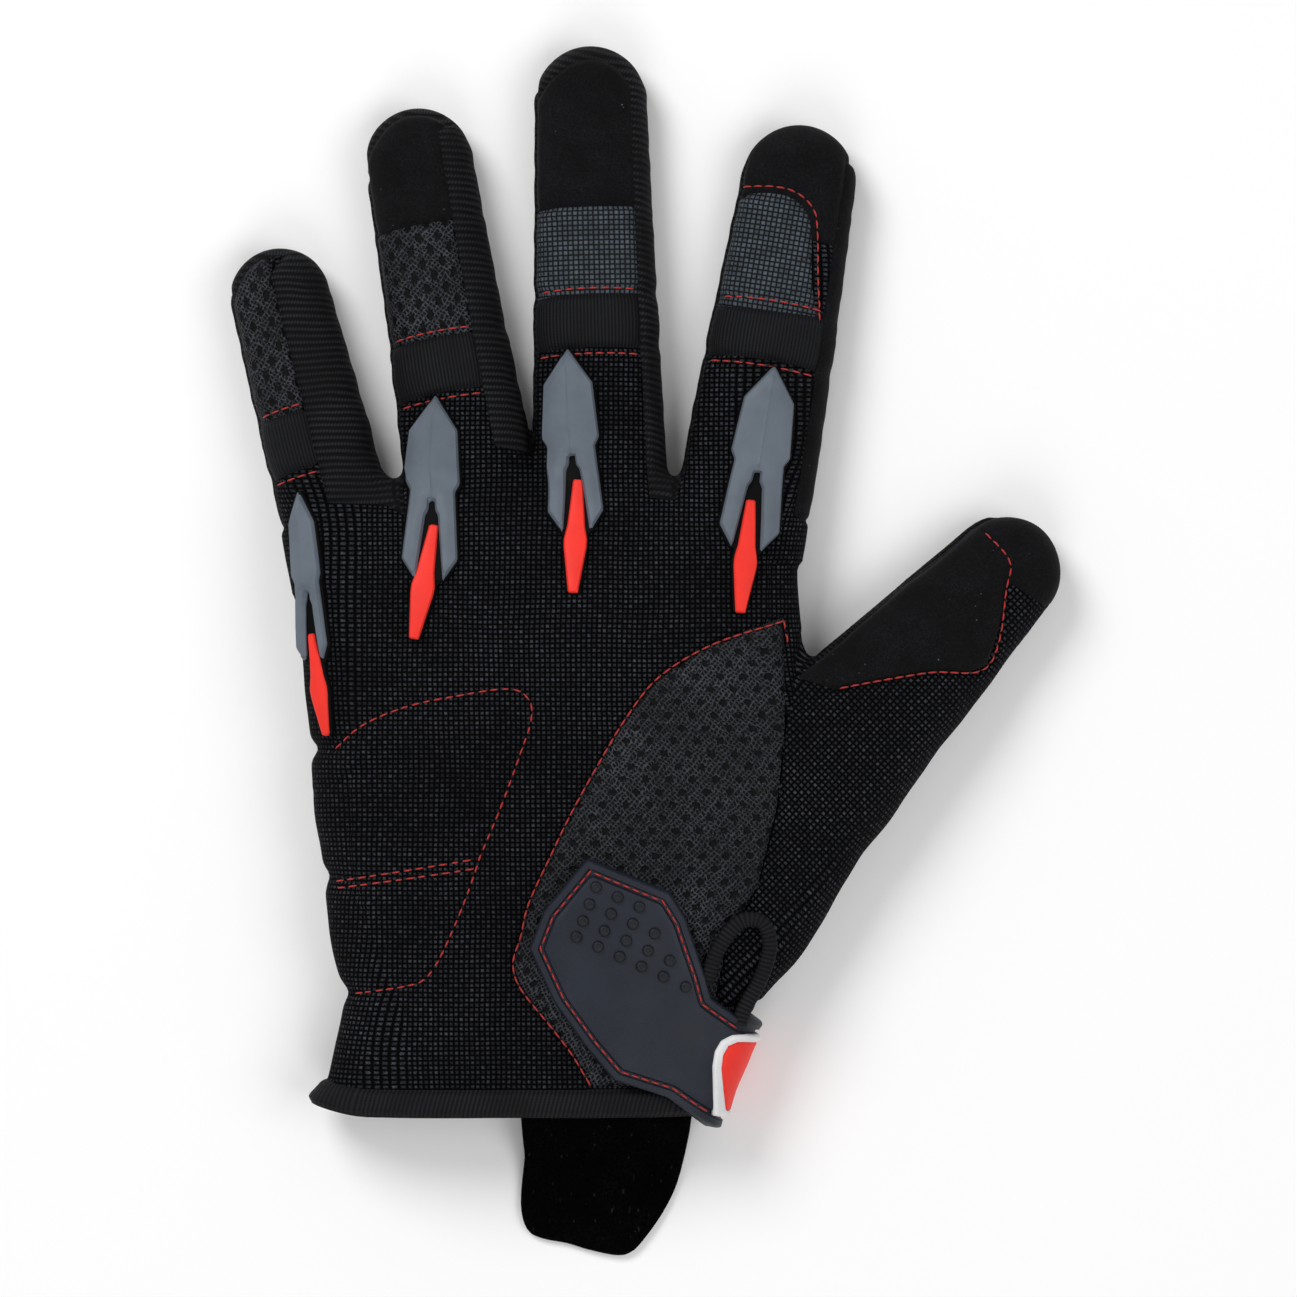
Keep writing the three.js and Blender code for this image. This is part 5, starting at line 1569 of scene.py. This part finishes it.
def sew(name, paths, material, pitch=2.6, share=0.82, wide=1.0, side="top", offset=0.0, slot="red"):
    """Stitches along plan paths: each is a short thread that rises from the cloth and dips back into it."""
    middle, ahead = (np.concatenate(part) for part in zip(*(stitch_points(path, pitch) for path in paths)))
    half = pitch * share / 2
    flat = (middle[:, None] + ahead[:, None] * (STITCH_AT * half)[None, :, None]).reshape(-1, 2)
    base, out = surface_at(flat[:, 0], flat[:, 1], side)
    base += out * (relief(base) + offset)[:, None]
    shape = (len(middle), len(STITCH_AT), 3)
    base, out = base.reshape(shape), out.reshape(shape)
    centre = base + out * STITCH_RISE[None, :, None]
    run = centre[:, -1] - centre[:, 0]
    run /= np.maximum(np.linalg.norm(run, axis=1), 1e-6)[:, None]
    across = np.cross(out, run[:, None])
    across /= np.maximum(np.linalg.norm(across, axis=2), 1e-6)[..., None]
    turn = np.arange(STITCH_SIDES) / STITCH_SIDES * TAU
    thick = wide * bpy.context.scene.glove.thread_radius / MM * STITCH_THICK
    ring = (across[:, :, None] * np.cos(turn)[None, None, :, None]
            + out[:, :, None] * np.sin(turn)[None, None, :, None]) * thick[None, :, None, None]
    place = centre[:, :, None] + ring
    index = np.arange(place[..., 0].size).reshape(place.shape[:3])
    p, q = index[:, :-1], index[:, 1:]
    quads = np.stack((p, q, np.roll(q, -1, 2), np.roll(p, -1, 2)), -1).reshape(-1, 4)
    ends = np.concatenate((index[:, 0], index[:, -1][:, ::-1]))
    along = np.tile(np.repeat(STITCH_AT * half, STITCH_SIDES), len(middle))
    around = np.tile(np.arange(STITCH_SIDES) * 0.25, len(middle) * len(STITCH_AT))
    cloth = np.column_stack((around, along))
    install(make_piece(name, material, place.reshape(-1, 3), [quads, ends], cloth), slot)


def across_finger(name, depth, left=-0.93):
    """A line of sewing across a finger's back at a depth from its tip, up to its seam."""
    return [on_finger(name, u, depth) for u in np.linspace(left, finger(name)["seam"] - 0.04, 9)]


def inset_path(outline, amount, mitred=False):
    """The outline moved inwards along its normals, without the folds that this makes at tight corners."""
    p = np.asarray(outline, float)
    ahead = np.roll(p, -1, 0) - p
    ahead /= np.maximum(np.hypot(*ahead.T), 1e-6)[:, None]
    normal = np.column_stack((-ahead[:, 1], ahead[:, 0]))
    before = np.roll(normal, 1, 0)
    size = 1 + (normal * before).sum(1) if mitred else np.hypot(*(normal + before).T)
    area = (p[:, 0] * np.roll(p[:, 1], -1) - np.roll(p[:, 0], -1) * p[:, 1]).sum()
    moved = p + (normal + before) / size[:, None] * amount * (1 if area > 0 else -1)
    return moved[path_distance(*moved.T, np.vstack((p, p[:1])), 2 * amount) > amount * 0.9]


def build_back_stitches():
    """Red sewing on the back, round the panels and along the bands, and inside the strap's rim."""
    thread = finishes()["red_thread"]
    sew("red_stitches_back", back_sewing(), thread)
    line = inset_path(STRAP_ABOVE, STRAP_LINE, True)
    line = line[(line[:, 0] < LINE_X) | ((line[:, 0] < LINE_FAR_X) & (line[:, 1] > LINE_FAR_Y))]
    first = int(np.argmax(np.hypot(*np.diff(line, axis=0).T)))
    line = np.roll(line, -(first + 1), 0)
    sew("red_stitches_strap", [line], thread, 2.3, 0.84, 1.05, offset=3.3)
    line = inset_path(STRAP_BELOW, STRAP_LINE)
    sew("red_stitches_strap_end", [line[line[:, 0] < LINE_UNDER_X]], thread, 2.3, 0.84, 1.05, "bottom", 3.3)


def build_palm_stitches():
    """Two rows of cream sewing along the edge of every leather patch under the hand."""
    rows = []
    for amount in SEWN_ROWS:
        line = inset_path(PALM_PATCH, amount)
        rows.append(np.vstack((line, line[:1])))
    for name in FINGERS:
        for amount in SEWN_ROWS:
            depth = finger(name)["patch"] - amount
            rows.append([on_finger(name, u, depth) for u in np.linspace(-0.44, 0.8, 7)])
    sew("cream_stitches_palm", rows, finishes()["cream_thread"], 2.9, 0.88, 1.35, "bottom", 0.85, "white")


# Stage

TABLE_HALF, TABLE_Z = 1500, -0.2
# Lights: name, place, size and power; then what they and the camera look at, and the width in view
LIGHTS = (
    ("key", (-0.6, 0.8, 1.0), 0.7, 11.0),
    ("fill", (0.8, -0.1, 1.1), 0.9, 5.0),
    ("front", (-0.1, -0.9, 0.9), 0.8, 3.5),
)
LIT_POINT = (0.02, 0.04, 0)
SKY = 0.36
VIEW_MIDDLE = (0.0222, 0.0455, 0.012)
VIEW_WIDTH = 0.302


def build_stage():
    """A pale table, soft lights overhead, and a long-lens camera straight above."""
    scene = bpy.context.scene
    corners = [(x * TABLE_HALF, y * TABLE_HALF, TABLE_Z) for x, y in ((-1, -1), (1, -1), (1, 1), (-1, 1))]
    make_piece("pale_table", table_finish(), corners, np.array([[0, 1, 2, 3]]))
    for name, place, size, power in LIGHTS:
        lamp = bpy.data.lights.new(f"soft_{name}", "AREA")
        lamp.shape = "DISK"
        lamp.size = size
        lamp.energy = power * scene.glove.light
        made = bpy.data.objects.new(f"soft_{name}", lamp)
        made.location = place
        made.rotation_euler = (Vector(LIT_POINT) - Vector(place)).to_track_quat("-Z", "Y").to_euler()
        scene.collection.objects.link(made)
    scene.world = bpy.data.worlds.new("soft_sky")
    scene.world.use_nodes = True
    sky = scene.world.node_tree.nodes["Background"].inputs
    sky["Color"].default_value = (1, 1, 1, 1)
    sky["Strength"].default_value = SKY
    lens = bpy.data.cameras.new("photo_camera")
    lens.lens = 150
    lens.sensor_width = 36
    lens.clip_end = 20
    camera = bpy.data.objects.new("photo_camera", lens)
    camera.location = Vector(VIEW_MIDDLE) + Vector((0, 0, VIEW_WIDTH * lens.lens / lens.sensor_width))
    scene.collection.objects.link(camera)
    scene.camera = camera
    scene.view_settings.view_transform = "Standard"


# Add-on

def colour_of(name, description, text):
    """A colour setting whose default is a six-figure colour word."""
    return FloatVectorProperty(name=name, description=description, default=shade(text)[:3], size=3, min=0.0,
                               max=1.0, subtype="COLOR")


def length_of(name, description, default, low, high, precision=5):
    """A length setting in metres."""
    return FloatProperty(name=name, description=description, default=default, min=low, max=high,
                         precision=precision, subtype="DISTANCE", unit="LENGTH")


class GloveSettings(bpy.types.PropertyGroup):
    """Sizes and colours that a user may change before building."""

    cloth_step: length_of("Cloth step", "Distance between the points of the cloth", 0.001, 0.0005, 0.004, 4)
    thread_radius: length_of("Thread radius", "Radius of the red sewing thread", 0.00019, 0.0001, 0.0005)
    guard_crown: length_of("Guard crown", "Rise of the ridge along each knuckle guard", 0.00095, 0.0, 0.002)
    light: FloatProperty(name="Light", description="Gain of the studio lights", default=1.0, min=0.1,
                         max=4.0, subtype="FACTOR")
    guard_colour: colour_of("Guard", "Rubber of the knuckle guards", "#646d78")
    insert_colour: colour_of("Insert", "Rubber of the inserts and the badge", "#f6372c")
    strap_colour: colour_of("Strap", "Rubber of the wrist strap", "#1c222e")
    back_thread: colour_of("Back thread", "Sewing thread on the back", "#d8322e")
    palm_thread: colour_of("Palm thread", "Sewing thread under the palm", "#f0eed6")


class GLOVE_OT_panels(bpy.types.Operator):
    """Cut the form into its cloth panels"""

    bl_idname = "glove.panels"
    bl_label = "Cloth panels"

    def execute(self, context):
        build_panels()
        build_hem()
        return {"FINISHED"}


class GLOVE_OT_patches(bpy.types.Operator):
    """Lay the leather patches under the palm and fingertips"""

    bl_idname = "glove.patches"
    bl_label = "Leather patches"

    def execute(self, context):
        build_patches()
        return {"FINISHED"}


class GLOVE_OT_guards(bpy.types.Operator):
    """Mould the knuckle guards and their inserts"""

    bl_idname = "glove.guards"
    bl_label = "Knuckle guards"

    def execute(self, context):
        build_guards()
        return {"FINISHED"}


class GLOVE_OT_strap(bpy.types.Operator):
    """Mould the wrist strap, its dots and its badge"""

    bl_idname = "glove.strap"
    bl_label = "Wrist strap"

    def execute(self, context):
        build_strap()
        build_dots()
        return {"FINISHED"}


class GLOVE_OT_tab(bpy.types.Operator):
    """Make the pull tab, the hook patch and the pull loop"""

    bl_idname = "glove.tab"
    bl_label = "Tab and loop"

    def execute(self, context):
        build_tab()
        build_hook()
        build_loop()
        return {"FINISHED"}


class GLOVE_OT_stitches(bpy.types.Operator):
    """Sew the red and cream seams"""

    bl_idname = "glove.stitches"
    bl_label = "Stitches"

    def execute(self, context):
        build_back_stitches()
        build_palm_stitches()
        return {"FINISHED"}


class GLOVE_OT_stage(bpy.types.Operator):
    """Set the table, the lights and the camera"""

    bl_idname = "glove.stage"
    bl_label = "Stage"

    def execute(self, context):
        build_stage()
        return {"FINISHED"}


STEPS = (GLOVE_OT_stage, GLOVE_OT_panels, GLOVE_OT_patches, GLOVE_OT_guards, GLOVE_OT_strap, GLOVE_OT_tab,
         GLOVE_OT_stitches)


class GLOVE_PT_build(bpy.types.Panel):
    """Buttons for the glove's pieces"""

    bl_label = "Mechanic glove"
    bl_idname = "GLOVE_PT_build"
    bl_space_type = "VIEW_3D"
    bl_region_type = "UI"
    bl_category = "Glove"

    def draw(self, context):
        for setting in GloveSettings.__annotations__:
            self.layout.prop(context.scene.glove, setting)
        for step in STEPS:
            self.layout.operator(step.bl_idname)


CLASSES = (GloveSettings, *STEPS, GLOVE_PT_build)


def register():
    """Add the settings, the operators and the panel."""
    for item in CLASSES:
        bpy.utils.register_class(item)
    bpy.types.Scene.glove = PointerProperty(type=GloveSettings)


def unregister():
    """Take them out again."""
    del bpy.types.Scene.glove
    for item in reversed(CLASSES):
        bpy.utils.unregister_class(item)


def main():
    """Build every piece in order."""
    register()
    for step in STEPS:
        getattr(bpy.ops.glove, step.bl_idname.split(".")[1])()


if __name__ == "__main__":
    main()
